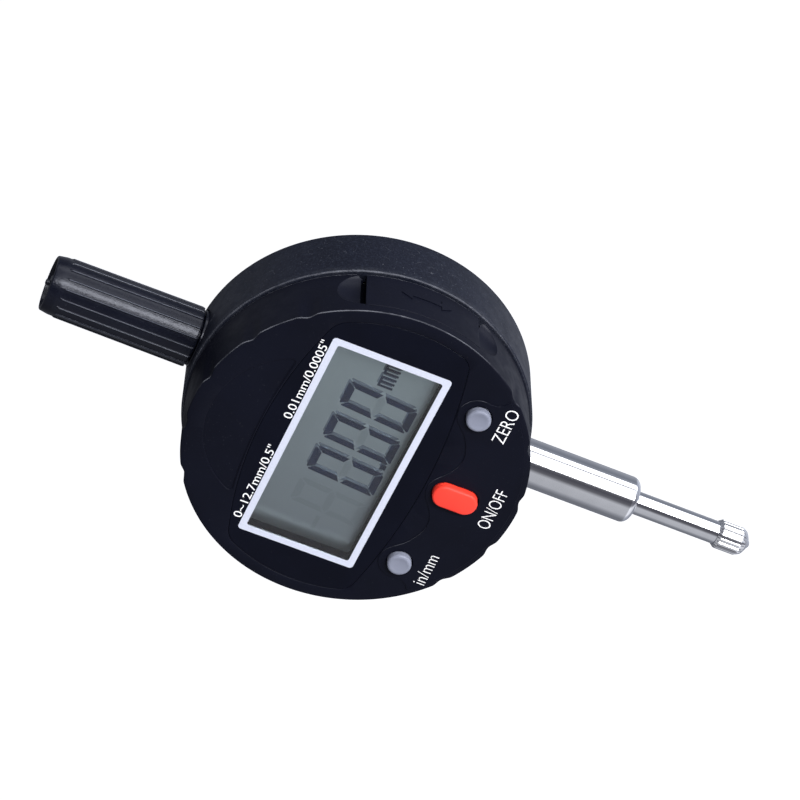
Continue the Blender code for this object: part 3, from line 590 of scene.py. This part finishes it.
def soft_slab(name, outline, front, back, edge, material=None, steps=4, dome=0.0):
    """A slab with a rounded edge at its front, which may be domed towards -Y."""
    sections = []
    for step in range(steps + 1):
        turn = pi / 2 * step / steps
        sections.append((offset(outline, -edge * (1 - sin(turn))), front + edge * (1 - cos(turn))))
    if dome:
        inner = sections[0][0]
        centre = Vector((sum(p[0] for p in inner) / len(inner), sum(p[1] for p in inner) / len(inner)))
        crown = []
        for share in (0.12, 0.35, 0.58, 0.8, 0.93):
            ring = [tuple(centre.lerp(Vector(p), share)) for p in inner]
            crown.append((ring, front - dome * (1 - share * share)))
        sections = crown + sections
    return loft(name, sections + [(outline, back)], material)


def flared_cutter(name, outline, mouth, floor, flare):
    """A pocket or hole cutter whose mouth widens, so that the cut has a softened edge."""
    return loft(name, [
        (offset(outline, flare * 1.4), mouth - 1.0), (offset(outline, flare * 1.4), mouth - 0.001),
        (offset(outline, flare * 0.5), mouth + flare * 0.4), (outline, mouth + flare), (outline, floor)])


def bar(name, x, y, z):
    """A box cutter or lug between pairs of x, y and z."""
    bm = bmesh.new()
    size = Matrix.Diagonal((x[1] - x[0], y[1] - y[0], z[1] - z[0], 1.0))
    place = Matrix.Translation([(low + high) / 2 for low, high in (x, y, z)])
    bmesh.ops.create_cube(bm, size=1.0, matrix=place @ size)
    return make(name, bm)


def slab_xz(name, outline, y, material=None, holes=()):
    """A flat slab of an outline with holes, from y[0] to y[1]."""
    bm = bmesh.new()
    for loop in (outline, *holes):
        verts = [bm.verts.new((a, y[0], b)) for a, b in loop]
        for index, vert in enumerate(verts):
            bm.edges.new((verts[index - 1], vert))
    bmesh.ops.triangle_fill(bm, use_beauty=True, edges=bm.edges[:])
    made = bmesh.ops.extrude_face_region(bm, geom=bm.faces[:])["geom"]
    moved = [item for item in made if isinstance(item, bmesh.types.BMVert)]
    bmesh.ops.translate(bm, verts=moved, vec=(0.0, y[1] - y[0], 0.0))
    return make(name, bm, material)


def films(name, polygons, y, material):
    """Thin printed shapes side by side in one mesh, each an outline from y[0] to y[1]."""
    bm = bmesh.new()
    for polygon in polygons:
        skin(bm, [[bm.verts.new((a, depth, b)) for a, b in polygon] for depth in y])
    return make(name, bm, material)


def carve(target, *cutters, operation="DIFFERENCE"):
    """Applies Booleans to target and removes the cutters."""
    for cutter in cutters:
        modifier = target.modifiers.new(cutter.name, "BOOLEAN")
        modifier.operation = operation
        modifier.solver = "EXACT"
        modifier.object = cutter
    graph = bpy.context.evaluated_depsgraph_get()
    result = bpy.data.meshes.new_from_object(target.evaluated_get(graph), depsgraph=graph)
    target.modifiers.clear()
    target.data = result
    for cutter in cutters:
        bpy.data.objects.remove(cutter, do_unlink=True)
    soften(result)
    return target


def bevel(target, width, segments):
    modifier = target.modifiers.new("edge", "BEVEL")
    modifier.width = width * MM
    modifier.segments = segments
    modifier.limit_method = "ANGLE"
    modifier.angle_limit = radians(50)
    return carve(target)


def lettering(name, text, x, baseline, cap_height, y, material, weight):
    """Text as a film from y[0] to y[1] of the face plane, fitted between x[0] and x[1]."""
    graph = bpy.context.evaluated_depsgraph_get()
    meshes = []
    for body in ("0", text):
        curve = bpy.data.curves.new(name, "FONT")
        curve.body = body
        curve.offset = weight
        curve.resolution_u = 6
        curve.extrude = 0.5
        holder = place_in_scene(bpy.data.objects.new(name, curve))
        graph.update()
        meshes.append(bpy.data.meshes.new_from_object(holder.evaluated_get(graph), depsgraph=graph))
        bpy.data.objects.remove(holder, do_unlink=True)
    digit, whole = ([v.co.copy() for v in mesh.vertices] for mesh in meshes)
    base, top = min(v.y for v in digit), max(v.y for v in digit)
    left, right = min(v.x for v in whole), max(v.x for v in whole)
    for vert in meshes[1].vertices:
        a = (vert.co.x - left) / (right - left)
        b = (vert.co.y - base) / (top - base)
        vert.co = (x[0] + (x[1] - x[0]) * a, y[0] if vert.co.z > 0 else y[1], baseline + cap_height * b)
    bm = bmesh.new()
    bm.from_mesh(meshes[1])
    bmesh.ops.remove_doubles(bm, verts=bm.verts, dist=1e-4)
    for mesh in meshes:
        bpy.data.meshes.remove(mesh)
    return make(name, bm, material)


def settle(thing, body, slot, *nodes, even=True):
    """Puts a finished piece on its body, with even normals unless even is False, and hides the CAD nodes that
    it stands for; slot is not used.
    """
    if even:
        modifier = thing.modifiers.new("even_normals", "WEIGHTED_NORMAL")
        modifier.keep_sharp = True
        modifier.weight = 100
    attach(thing, body)
    if nodes:
        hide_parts(*nodes)
    return thing


# The object


def notched(depth_at):
    """The front rim's shape, with shallow grip notches that fade out away from the face."""
    notches = [38.5 + 20.25 * k for k in range(5)] + [234.2 + 21.1 * k for k in range(5)]
    half_width = 4.0

    def shape(radius, height, angle):
        if radius < 27.2:
            return radius
        off = min(abs((angle - notch + 180.0) % 360.0 - 180.0) for notch in notches)
        if off >= half_width:
            return radius
        return radius - depth_at(height) * (1 + cos(pi * off / half_width)) / 2

    return shape


def front_shell(looks):
    corners = [
        (0.0, FACE_Y, 0.0), (26.95, FACE_Y, 0.0), (27.95, FACE_Y + 0.07, 0.25),
        *[(FRONT_R, depth, 0.0) for depth in (-22.0, -20.0, -18.0)],
        (FRONT_R, SEAM_FRONT_Y, 0.12), (WALL_R, SEAM_FRONT_Y, 0.1), (WALL_R, -23.2, 0.4), (0.0, -23.2, 0.0),
    ]
    notch_depth, notch_length = 0.45, 6.5
    shape = notched(lambda y: notch_depth * max(0.0, min(1.0, 1.0 - (y - FACE_Y) / notch_length)))
    shell = turned("front_housing_shell", corners, axis="Y", samples=720, shape=shape,
                   material=looks["black_plastic"])
    shell.data.materials.append(looks["scoop_plastic"])
    carve(shell, soft_slab("land", key_land(), LAND_Y, FACE_Y + 0.4, 0.10), operation="UNION")
    round_hole_r, key_back = ROUND_KEY_R + 0.2, -22.5
    cutters = [
        flared_cutter("lens", offset(barrel(), 0.05), FACE_Y, LENS_BACK_Y + 0.3, 0.07),
        flared_cutter("badge", crescent(), FACE_Y, FACE_Y + 0.16, 0.10),
        slab_xz("window", rectangle(*WELL, (0, DISPLAY_Z), 0.3), (FACE_Y - 1, key_back)),
        slab_xz("port", port_sector(26.2, 30.0, PORT_HALF_DEG + 0.06), (-23.6, SEAM_FRONT_Y + 1)),
        slab_xz("side_slots", port_sector(26.5, 30.0, PORT_HALF_DEG + 1.75), (-22.7, -15.3)),
        flared_cutter("zero", circle(round_hole_r, ZERO_KEY), LAND_Y, key_back, 0.08),
        flared_cutter("unit", circle(round_hole_r, UNIT_KEY), LAND_Y, key_back, 0.08),
        flared_cutter("power", rectangle(POWER_KEY_W + 0.4, POWER_KEY_H + 0.4, POWER_KEY,
                                         POWER_KEY_W / 2 + 0.19, 16), LAND_Y, key_back, 0.08),
    ]
    carve(shell, *scoops(), *cutters)
    settle(shell, "housing", "black_plastic", "front_housing")
    # Painted shade: near-black pads on the floors of the side slots stand for the dark inside of the slots
    for number, side in enumerate((1, -1), 1):
        turns = [radians(side * (PORT_HALF_DEG + step * 0.35)) for step in range(6)][::side]
        outline = [(26.75 * cos(t), 26.75 * sin(t)) for t in turns]
        outline += [(26.52 * cos(t), 26.52 * sin(t)) for t in turns[::-1]]
        slot_shade = slab_xz(f"port_slot_shade_{number}", outline, (-22.65, -15.35), looks["gasket"])
        settle(slot_shade, "housing", "rubber")


def scoops():
    """Cutters of the finger scoops beside the port cover, with the open corner behind each one."""
    cutters = []
    for side in (1, -1):
        turn = Matrix.Rotation(-side * radians(PORT_HALF_DEG + 0.3), 4, "Y")
        hollow = bmesh.new()
        place = turn @ Matrix.Translation((FRONT_R + 0.13, -19.03, 0.07)) @ Matrix.Rotation(0.11, 4, "X")
        bmesh.ops.create_uvsphere(hollow, u_segments=60, v_segments=30, radius=1.0,
                                  matrix=place @ Matrix.Diagonal((1.5, 4.3, 4.5, 1.0)))
        for face in hollow.faces:
            face.material_index = 1
        cutters.append(make(f"scoop_{side}", hollow))
        corner = bmesh.new()
        outline = ((-15.75, -0.4), (-14.0, -0.4), (-14.0, 1.75), (-14.75, 1.35))
        skin(corner, [[corner.verts.new(turn @ Vector((reach, y, side * along))) for y, along in outline]
                      for reach in (25.2, 29.0)])
        cutters.append(make(f"corner_{side}", corner))
    return cutters


def port_sector(inner, outer, half_degrees, steps=24):
    turns = [radians(half_degrees * (2 * step / steps - 1)) for step in range(steps + 1)]
    outside = [(outer * cos(t), outer * sin(t)) for t in turns]
    return outside + [(inner * cos(t), inner * sin(t)) for t in turns[::-1]]


def rear_shell(looks):
    shell = turned("rear_housing_shell", [
        (WALL_R, SEAM_REAR_Y, 0.1), (REAR_R, SEAM_REAR_Y, 0.4), (REAR_R, -2.8, 0.35), (WALL_R, -2.8, 0.1),
    ], closed=True, axis="Y", samples=240, material=looks["rear_casting"])
    for k, (x, z) in enumerate(POSTS):
        post_r, post_y, bore_r = 2.6, (SEAM_REAR_Y + 0.15, -3.05), 1.25
        post = pin(f"post_{k}", post_r, *post_y, at=(x, 0, z), axis="Y", samples=30)
        bore = pin(f"bore_{k}", bore_r, -15, -1, at=(x, 0, z), axis="Y", samples=26)
        carve(shell, post, operation="UNION")
        carve(shell, bore)
    on_axis = (0, SPINDLE_Y, 0)
    carve(
        shell,
        pin("stem_hole", 4.25, -31, -24, at=on_axis),
        lathe("collar_hole", [
            (0, 24), (4.2, 24), (4.2, 27.6), (5.0, 27.6), (5.0, 32), (0, 32)], at=on_axis),
    )
    settle(shell, "housing", "rear_casting", "rear_housing")


def back_plate(looks):
    plate = turned("back_plate", [
        (0, -2.5, 0), (26.9, -2.5, 0.1), (26.9, -0.7, 0.2), (26.2, 0.0, 0.25), (0, 0.0, 0),
    ], axis="Y", samples=180, material=looks["rear_casting"])
    at = (BATTERY[0], 0, BATTERY[1])
    cutters = [lathe("lid_seat", [
        (0, -4), (6.6, -4), (6.6, -1.9), (7.6, -1.9), (7.6, -0.15), (7.8, 0.05), (7.8, 1), (0, 1),
    ], at=at, axis="Y")]
    for index, (x, z) in enumerate(((-10.2, -17.7), (-10.2, 17.7))):
        cutters.append(pin(f"pilot_{index}", 1.0, -4, -0.9, at=(x, 0, z), axis="Y", samples=24))
    for index, (x, z) in enumerate(POSTS[::-1]):
        cutters.append(lathe(f"seat_{index}", [
            (0, -4), (1.25, -4), (1.25, -1.7), (2.0, -1.7), (2.0, -0.35), (2.13, -0.1), (2.13, 1), (0, 1)],
            at=(x, 0, z), axis="Y", samples=46))
    cutters.append(lathe("groove", [(24.0, -0.22), (24.41, -0.23), (24.51, 1.1), (23.9, 1.05)],
                         axis="Y", samples=180, closed=True))
    carve(plate, *cutters)
    settle(plate, "housing", "rear_casting", "back_cover")


def lens(looks):
    edge = 0.08
    plate = soft_slab("lens_print_plate", barrel(), LENS_FRONT_Y, LENS_BACK_Y, edge, looks["lens_print"])
    window = rectangle(*WINDOW, (0, DISPLAY_Z), 0.4)
    well = rectangle(*WELL, (0, DISPLAY_Z), 0.3)
    pane_back = LENS_FRONT_Y + 0.25
    carve(plate, slab_xz("opening", window, (LENS_FRONT_Y - 1, LENS_BACK_Y + 1)),
          slab_xz("recess", offset(well, 0.01), (pane_back, LENS_BACK_Y + 1)))
    settle(plate, "housing", "lens_print", "lens_panel")
    # A real foam gasket round the display, its black also painted shade for the edges of the well
    gasket = slab_xz("window_gasket", offset(well, -0.01), (pane_back + 0.02, LCD_Y - 0.02), looks["gasket"],
                     holes=[offset(window, 0.03)])
    settle(gasket, "housing", "rubber")
    pane = soft_slab("lens_window_pane", offset(window, -0.01), LENS_FRONT_Y, pane_back, 0.03, looks["pane"])
    pane.visible_shadow = False
    settle(pane, "housing", "lens_print")
    border = slab_xz("window_border", rectangle(39.8, 20.2, (0, DISPLAY_Z), 0.6),
                     (LENS_FRONT_Y - INK, LENS_FRONT_Y + INK), looks["border_white"], holes=[window])
    settle(border, "housing", "lens_print")


def segments(cell_x, cell_z, names):
    """Seven-segment outlines of one digit, centred on a cell: mitred, with cut corners and a slant."""
    w, h, side_t, end_t, cut, gap = 2.43, 6.1, 1.02, 1.3, 0.55, 0.09
    outer_x, outer_z = w - cut / 2, h - cut / 2
    top = [
        (cut - w, h), (w - cut, h), (outer_x - gap, outer_z + gap), (w - side_t - gap, h - end_t),
        (side_t + gap - w, h - end_t), (gap - outer_x, outer_z + gap),
    ]
    side = [
        (w, h - cut), (outer_x + gap, outer_z - gap), (w - side_t, h - end_t - gap), (w - side_t, 0.87),
        (w, 0.18),
    ]
    middle = [
        (0.25 - w, 0), (side_t - w, 0.62), (w - side_t, 0.62), (w - 0.25, 0), (w - side_t, -0.62),
        (side_t - w, -0.62),
    ]
    shapes = {
        "a": top, "d": [(x, -z) for x, z in top], "b": side, "f": [(-x, z) for x, z in side],
        "c": [(x, -z) for x, z in side], "e": [(-x, -z) for x, z in side], "g": middle,
    }
    slant = tan(radians(4.6))
    return [[(cell_x + x + z * slant, cell_z + z) for x, z in shapes[name]] for name in names]


def unit_letters():
    """The two square letters m beside the digits, each a roof on three legs."""
    left_end, foot, pitch, stroke, height = 13.05, -0.55, 0.82, 0.42, 2.6
    head, roof = foot + height, foot + height - stroke
    outlines = []
    for legs_before in (0, 3):
        left = left_end + pitch * legs_before
        right = left + pitch * 2 + stroke
        outlines.append([
            (left, roof), (right, roof), (right, head - 0.15), (right - 0.15, head), (left, head)])
        for k in range(3):
            x = left + pitch * k
            outlines.append([(x, foot), (x + stroke, foot), (x + stroke, roof), (x, roof)])
    return outlines


def display(looks):
    glass = soft_slab("lcd_panel", rectangle(40.0, 22.4, (0, DISPLAY_Z), 0.2), LCD_Y, -20.7, 0.1,
                      looks["display_glass"])
    settle(glass, "housing", "display_glass", "lcd_glass")
    middle_z = 0.1
    cells, dark_cell = (-4.08, 2.6, 9.27), -10.75
    point = [(-1.5, -5.7), (-0.55, -5.7), (-0.45, -4.7), (-1.4, -4.7)]
    minus = [(-16.7, 0.1), (-14.0, 0.1), (-14.0, 0.85), (-16.7, 0.85)]
    lit = [outline for cell in cells for outline in segments(cell, middle_z, "abcdef")]
    lit += [point, *unit_letters()]
    ghosts = segments(dark_cell, middle_z, "abcdefg")
    ghosts += [outline for cell in cells for outline in segments(cell, middle_z, "g")]
    ghosts.append(minus)
    shadow_x, shadow_z = 0.62, 0.27
    shadow = [[(x + shadow_x, z + shadow_z) for x, z in outline] for outline in lit]
    for name, outlines, proud, look in (
        ("lcd_ghosts", ghosts, 0.010, "segment_ghost"),
        ("lcd_shadows", shadow, 0.016, "segment_shadow"),
        ("lcd_digits", lit, 0.026, "segment_dark"),
    ):
        settle(films(name, outlines, (LCD_Y - proud, LCD_Y + 0.01), looks[look]), "housing", "display_glass")


def labels(looks):
    on_lens = (LENS_FRONT_Y - INK, LENS_FRONT_Y + INK)
    on_land = (LAND_Y - INK, LAND_Y + 2 * INK)
    ink = looks["label_white"]
    for name, text, x, baseline, cap_height, y, weight in (
        ("range_text", "0~12.7mm/0.5\"", (-17.95, -2.75), 12.38, 1.42, on_lens, 0.0),
        ("resolution_text", "0.01mm/0.0005\"", (3.0, 18.75), 12.38, 1.42, on_lens, 0.0),
        ("zero_label", "ZERO", (12.5, 19.0), -20.15, 2.15, on_land, -0.008),
        ("unit_label", "in/mm", (-18.1, -11.9), -20.15, 2.15, on_land, -0.012),
        ("power_label", "ON/OFF", (-3.6, 4.3), -25.0, 2.15, on_land, -0.01),
    ):
        settle(lettering(name, text, x, baseline, cap_height, y, ink, weight), "housing", "lens_print")


def keys(looks):
    front, foot_y, back = KEY_FRONT_Y + 0.3, (-22.9, -22.2), -20.3
    flange_r, stalk_r = ROUND_KEY_R + 0.9, 1.3
    for name, (x, z) in (("zero_key", ZERO_KEY), ("unit_key", UNIT_KEY)):
        cap = turned(name + "_cap", [
            (0.0, front + 0.10, 0), (0.9, front + 0.09, 0), (1.2, front + 0.05, 0), (1.45, front, 0),
            (ROUND_KEY_R, front, 0.45), (ROUND_KEY_R, foot_y[0], 0), (flange_r, foot_y[0], 0),
            (flange_r, foot_y[1], 0), (stalk_r, foot_y[1], 0), (stalk_r, back, 0), (0.0, back, 0),
        ], at=(x, 0, z), axis="Y", samples=72, material=looks["grey_key"])
        settle(cap, name, "grey_key", name)
    outline = rectangle(POWER_KEY_W, POWER_KEY_H, POWER_KEY, POWER_KEY_W / 2 - 0.01, 18)
    cap = soft_slab("power_key_cap", outline, KEY_FRONT_Y + 0.17, -22.6, 0.45, looks["red_key"], 6, 0.12)
    foot = rectangle(POWER_KEY_W + 1.2, POWER_KEY_H + 1.2, POWER_KEY, POWER_KEY_W / 2 + 0.6, 18)
    carve(cap, slab_xz("foot", foot, foot_y), operation="UNION")
    stalk = pin("stalk", stalk_r, -22.5, back, at=(POWER_KEY[0], 0, POWER_KEY[1]), axis="Y", samples=32)
    carve(cap, stalk, operation="UNION")
    settle(cap, "power_key", "red_key", "power_key")


def port_cover(looks):
    sector = port_sector(WALL_R, FRONT_R, PORT_HALF_DEG, 40)
    cover = slab_xz("port_cover_shell", sector, (-23.4, SEAM_FRONT_Y), looks["black_plastic"])
    bevel(cover, 0.14, 3)
    carve(cover, bar("tongue", (24.4, 27.2), (-22.6, -18.9), (-6.0, 6.0)), operation="UNION")
    settle(cover, "port_cover", "black_plastic", "port_cover")
    middle_y, tip, neck, barb, shaft = -18.2, 4.3, 2.5, 1.35, 0.42
    arrow = [
        (0.0, -tip), (barb, -neck), (shaft, -neck), (shaft, neck), (barb, neck), (0.0, tip),
        (-barb, neck), (-shaft, neck), (-shaft, -neck), (-barb, -neck),
    ]
    fine = []
    for start, end in zip(arrow, arrow[1:] + arrow[:1]):
        pieces = max(1, round(abs(end[1] - start[1]) / 0.4))
        fine += [tuple(a + (b - a) * k / pieces for a, b in zip(start, end)) for k in range(pieces)]
    mark = slab_xz("port_arrow_mark", fine, (-0.13, 0.1), looks["black_plastic"])
    mark_to_rim(mark, middle_y)
    settle(mark, "port_cover", "black_plastic")


def mark_to_rim(mark, middle_y):
    """Wraps a flat mark round the rim, with its x along the case's depth and its z around the rim."""
    for vert in mark.data.vertices:
        across, depth, around = vert.co / MM
        reach, turn = FRONT_R - depth, around / FRONT_R
        vert.co = Vector((reach * cos(turn), middle_y + across, reach * sin(turn))) * MM


def dust_cap(looks):
    ribs, rib_height, top = 18, 0.20, 51.9

    def shape(radius, height, angle):
        off = abs((angle + 10.0) % (360.0 / ribs) - 180.0 / ribs)
        if radius < 4.75 or height > top:
            return radius
        fade = min(1.0, (top - height) / 0.5)
        return radius + rib_height * fade * max(0.0, min(1.0, (2.1 - off) / 1.3))

    on_axis = (0, SPINDLE_Y, 0)
    cap = turned("dust_cap_shell", [
        (0, 52.2, 0), (3.95, 52.2, 0.1), (4.15, 54.1, 0.10), (4.60, 54.1, 0.30), (4.86, 52.5, 0.9),
        (4.87, 51.9, 0), (4.87, 51.4, 0), (CAP_BASE_R, CAP_BASE_Z, 0), (4.9, 29.0, 0), (4.1, 29.0, 0),
        (4.1, 35.0, 0), (3.3, 36.0, 0), (3.3, 51.2, 0), (0, 51.2, 0),
    ], at=on_axis, samples=720, shape=shape, material=looks["cap_plastic"])
    half = 0.35
    carve(
        cap,
        bar("cross_x", (-4.0, 4.0), (SPINDLE_Y - half, SPINDLE_Y + half), (52.0, 53.7)),
        bar("cross_y", (-half, half), (SPINDLE_Y - 4.0, SPINDLE_Y + 4.0), (52.0, 53.65)),
        turned("nub", [
            (0, 54.6, 0), (0.45, 54.6, 0.2), (0.5, 53.9, 0.1), (1.3, 53.9, 0.2), (1.4, 52.0, 0), (0, 52.0, 0),
        ], at=on_axis, samples=32),
        operation="UNION")
    settle(cap, "dust_cap", "black_plastic", "dust_cap")
    collar = turned("cap_collar_ring", [
        (3.9, 25.5, 0), (3.9, 27.9, 0), (4.8, 27.9, 0.08), (4.8, 28.7, 0.2), (3.75, 28.7, 0.1),
        (3.75, 34.0, 0.2), (2.6, 34.0, 0.1), (2.6, 25.5, 0),
    ], closed=True, at=on_axis, material=looks["cap_plastic"])
    settle(collar, "housing", "black_plastic", "cap_collar")


def spindle_parts(looks):
    on_axis = (0, SPINDLE_Y, 0)
    stem = turned("stem_sleeve", [
        (2.35, -50.5, 0.1), (4.0, -50.5, 1.4), (4.0, -26.4, 0), (3.2, -26.4, 0), (3.2, -17.5, 0.1),
        (2.75, -17.5, 0), (2.75, -49.9, 0), (2.35, -49.9, 0),
    ], closed=True, steps=8, at=on_axis, samples=128, material=looks["polished_steel"])
    settle(stem, "housing", "polished_steel", "stem_tube")
    rod = turned("spindle_rod", [
        (0, -66.0, 0), (2.0, -66.0, 0.05), (2.0, 36.0, 0.3), (0, 36.0, 0),
    ], at=on_axis, material=looks["polished_steel"])
    settle(rod, "spindle", "polished_steel", "spindle")
    flutes = 20

    def shape(radius, height, angle):
        if radius < 2.2:
            return radius
        off = abs((angle + 9.0) % (360.0 / flutes) - 180.0 / flutes)
        return radius - 0.15 * max(0.0, 1.0 - off / 4.0)

    tip = turned("contact_tip", [
        (0, -66.02, 0), (2.15, -66.02, 0.1), (2.55, -66.6, 0.2), (2.55, -70.25, 0.8), (2.05, -71.25, 0.8),
        (1.15, -71.8, 0), (0, -71.8, 0),
    ], at=on_axis, samples=360, shape=shape, material=looks["fluted_steel"])
    settle(tip, "spindle", "polished_steel", "contact_point")
    ball_r, ball_low, sweep, steps = 0.95, -72.4, 0.62 * pi, 12
    turns = [sweep * k / steps for k in range(steps + 1)]
    arc = [(ball_r * sin(turn), ball_low + ball_r * (1 - cos(turn))) for turn in turns]
    arc.append((0.0, arc[-1][1]))
    ball = lathe("contact_ball_end", arc, at=on_axis, samples=64, material=looks["polished_steel"])
    settle(ball, "spindle", "polished_steel", "contact_ball")


def return_spring(looks):
    """The spring's helix, wound at an even pitch from end to end."""
    coil_r, wire_r, turns, low, high = 2.9, 0.25, 8, -1.45, 15.45
    sides, steps = 12, turns * 32
    bm = bmesh.new()
    rings = []
    for step in range(steps + 1):
        turn = tau * turns * step / steps
        height = low + (high - low) * step / steps
        radial = Vector((cos(turn), sin(turn), 0.0))
        ring = []
        for side in range(sides):
            around = tau * side / sides
            ring.append(bm.verts.new(radial * (coil_r + wire_r * cos(around))
                                     + Vector((0.0, SPINDLE_Y, height + wire_r * sin(around)))))
        rings.append(ring)
    skin(bm, rings)
    spring = settle(make("return_spring_coil", bm, looks["spring_steel"]), "housing", "spring_steel",
                    "return_spring", even=False)
    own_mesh(spring)


def fasteners(looks):
    recess_long, recess_wide = 1.0, 0.2
    for index, (x, z) in enumerate(POSTS, 1):
        screw = turned(f"case_screw_{index}_detail", [
            (0, -20.5, 0), (0.6, -20.5, 0), (0.95, -19.9, 0), (0.95, -1.5, 0), (1.75, -1.5, 0.1),
            (1.75, -0.75, 0.3), (0.9, -0.4, 0), (0, -0.4, 0),
        ], at=(x, 0, z), axis="Y", samples=48, material=looks["dark_screw"])
        carve(screw, *[
            bar(f"cross_{a}_{b}", (x - a, x + a), (-1.25, 0.5), (z - b, z + b))
            for a, b in ((recess_long, recess_wide), (recess_wide, recess_long))])
        settle(screw, "housing", "dark_screw", f"case_screw_{index}")


def battery_lid(looks):
    lid = turned("battery_lid_shell", [
        (0, -2.6, 0), (5.6, -2.6, 0.1), (5.6, -1.6, 0), (7.3, -1.6, 0.1), (7.3, 0.0, 0.3), (6.6, 0.0, 0.1),
        (6.4, -0.15, 0.1), (0, -0.15, 0),
    ], at=(BATTERY[0], 0, BATTERY[1]), axis="Y", samples=120, material=looks["black_plastic"])
    slot = rectangle(10.0, 1.6, BATTERY, 0.5)
    mouth = offset(slot, 0.15)
    carve(lid, loft("coin_slot", [(slot, -0.95), (slot, -0.25), (mouth, -0.1), (mouth, 1.0)]))
    settle(lid, "battery_lid", "black_plastic", "battery_lid")


def paint_frame(looks):
    """Gives each CAD node that still shows the procedural look of its slot."""
    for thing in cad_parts.values():
        if not thing.hide_render:
            for place in thing.material_slots:
                place.material = looks[place.material.name.split(".")[0]]


# The studio


def floor():
    floor_z, reach = -190.0, 40000.0
    bm = bmesh.new()
    corners = ((-reach, -reach), (reach, -reach), (reach, reach), (-reach, reach))
    bm.faces.new([bm.verts.new((x, y, floor_z)) for x, y in corners])
    sheet = make("floor", bm, floor_paper())
    for ray in ("visible_diffuse", "visible_glossy", "visible_shadow", "visible_transmission"):
        setattr(sheet, ray, False)


def room():
    """Soft light from all round: its colour by compass direction, in degrees, times a gain by height."""
    world = bpy.data.worlds.new("studio")
    bpy.context.scene.world = world
    world.use_nodes = True
    tree = world.node_tree
    background = tree.nodes["Background"]
    way = split_place(tree, node(tree, "TexCoord").outputs["Generated"])
    azimuth = math_node(tree, "ARCTAN2", way["Y"], way["X"])
    share = node(tree, "MapRange", {"Value": azimuth, "From Min": -pi, "From Max": pi}).outputs["Result"]
    around = colour_ramp(tree, share, [((degrees + 180.0) / 360.0, colour) for degrees, colour in (
        (-180, (0.22, 0.23, 0.26)), (-162, (0.34, 0.35, 0.39)), (-145, (0.55, 0.56, 0.60)),
        (-100, (0.60, 0.61, 0.65)), (-84, (0.16, 0.16, 0.18)), (-68, (0.09, 0.09, 0.11)),
        (-50, (0.15, 0.15, 0.17)), (20, (0.40, 0.42, 0.48)), (48, (0.24, 0.26, 0.31)),
        (90, (0.42, 0.44, 0.50)), (130, (0.20, 0.21, 0.25)), (180, (0.22, 0.23, 0.26)),
    )])
    height = node(tree, "MapRange", {"Value": way["Z"], "From Min": -1.0, "From Max": 1.0}).outputs["Result"]
    gain = colour_ramp(tree, height, [((z + 1.0) / 2.0, (value / 2.0,) * 3) for z, value in (
        (-1.0, 1.3), (-0.62, 1.75), (-0.5, 1.7), (-0.38, 1.0), (-0.28, 0.87), (-0.1, 0.82), (0.24, 0.52),
        (0.38, 0.62), (0.53, 0.85), (1.0, 0.85),
    )])
    light = vector_node(tree, "MULTIPLY", around, vector_node(tree, "SCALE", gain, 2.0))
    seen = node(tree, "LightPath").outputs["Is Camera Ray"]
    tree.links.new(blend_colours(tree, seen, light, (1.0, 1.0, 1.0)), background.inputs["Color"])


def softboxes():
    """Upright rectangular lights round the spindle's axis, sizes and distances in metres."""
    centre_z = -0.32
    for name, degrees, distance, width, height, power in (
        ("key_core", -42.0, 1.15, 0.29, 1.4, 19.0),
        ("key_softbox", -28.6, 1.2, 1.10, 1.5, 10.0),
        ("side_softbox", 14.2, 1.2, 0.52, 1.5, 5.4),
    ):
        light = bpy.data.lights.new(name, "AREA")
        light.shape = "RECTANGLE"
        light.size, light.size_y = width, height
        light.energy = power
        lamp = place_in_scene(bpy.data.objects.new(name, light))
        place = Vector((distance * cos(radians(degrees)), distance * sin(radians(degrees)), centre_z))
        lamp.location = place
        lamp.rotation_euler = Vector((place.x, place.y, 0.0)).to_track_quat("Z", "Y").to_euler()
        lamp.visible_camera = False


def viewpoint():
    """The camera: its place in metres, and the directions that are right and down in the picture."""
    camera = place_in_scene(bpy.data.objects.new("camera", bpy.data.cameras.new("camera")))
    camera.data.lens = 132.4
    camera.data.sensor_width = 36.0
    camera.data.clip_start, camera.data.clip_end = 0.01, 200.0
    right = Vector((0.40624633, 0.00787874, -0.91372963))
    down = Vector((-0.76267007, -0.54784115, -0.34380872))
    turn = Matrix((right, -down, down.cross(right))).transposed()
    camera.matrix_world = Matrix.Translation((0.246096, -0.412107, 0.098292)) @ turn.to_4x4()
    bpy.context.scene.camera = camera
    bpy.context.scene.view_settings.view_transform = "Standard"


looks = make_materials()
for build in (front_shell, rear_shell, back_plate, lens, display, labels, keys, port_cover, dust_cap,
              spindle_parts, return_spring, fasteners, battery_lid, paint_frame):
    build(looks)
for arrange in (floor, room, softboxes, viewpoint):
    arrange()
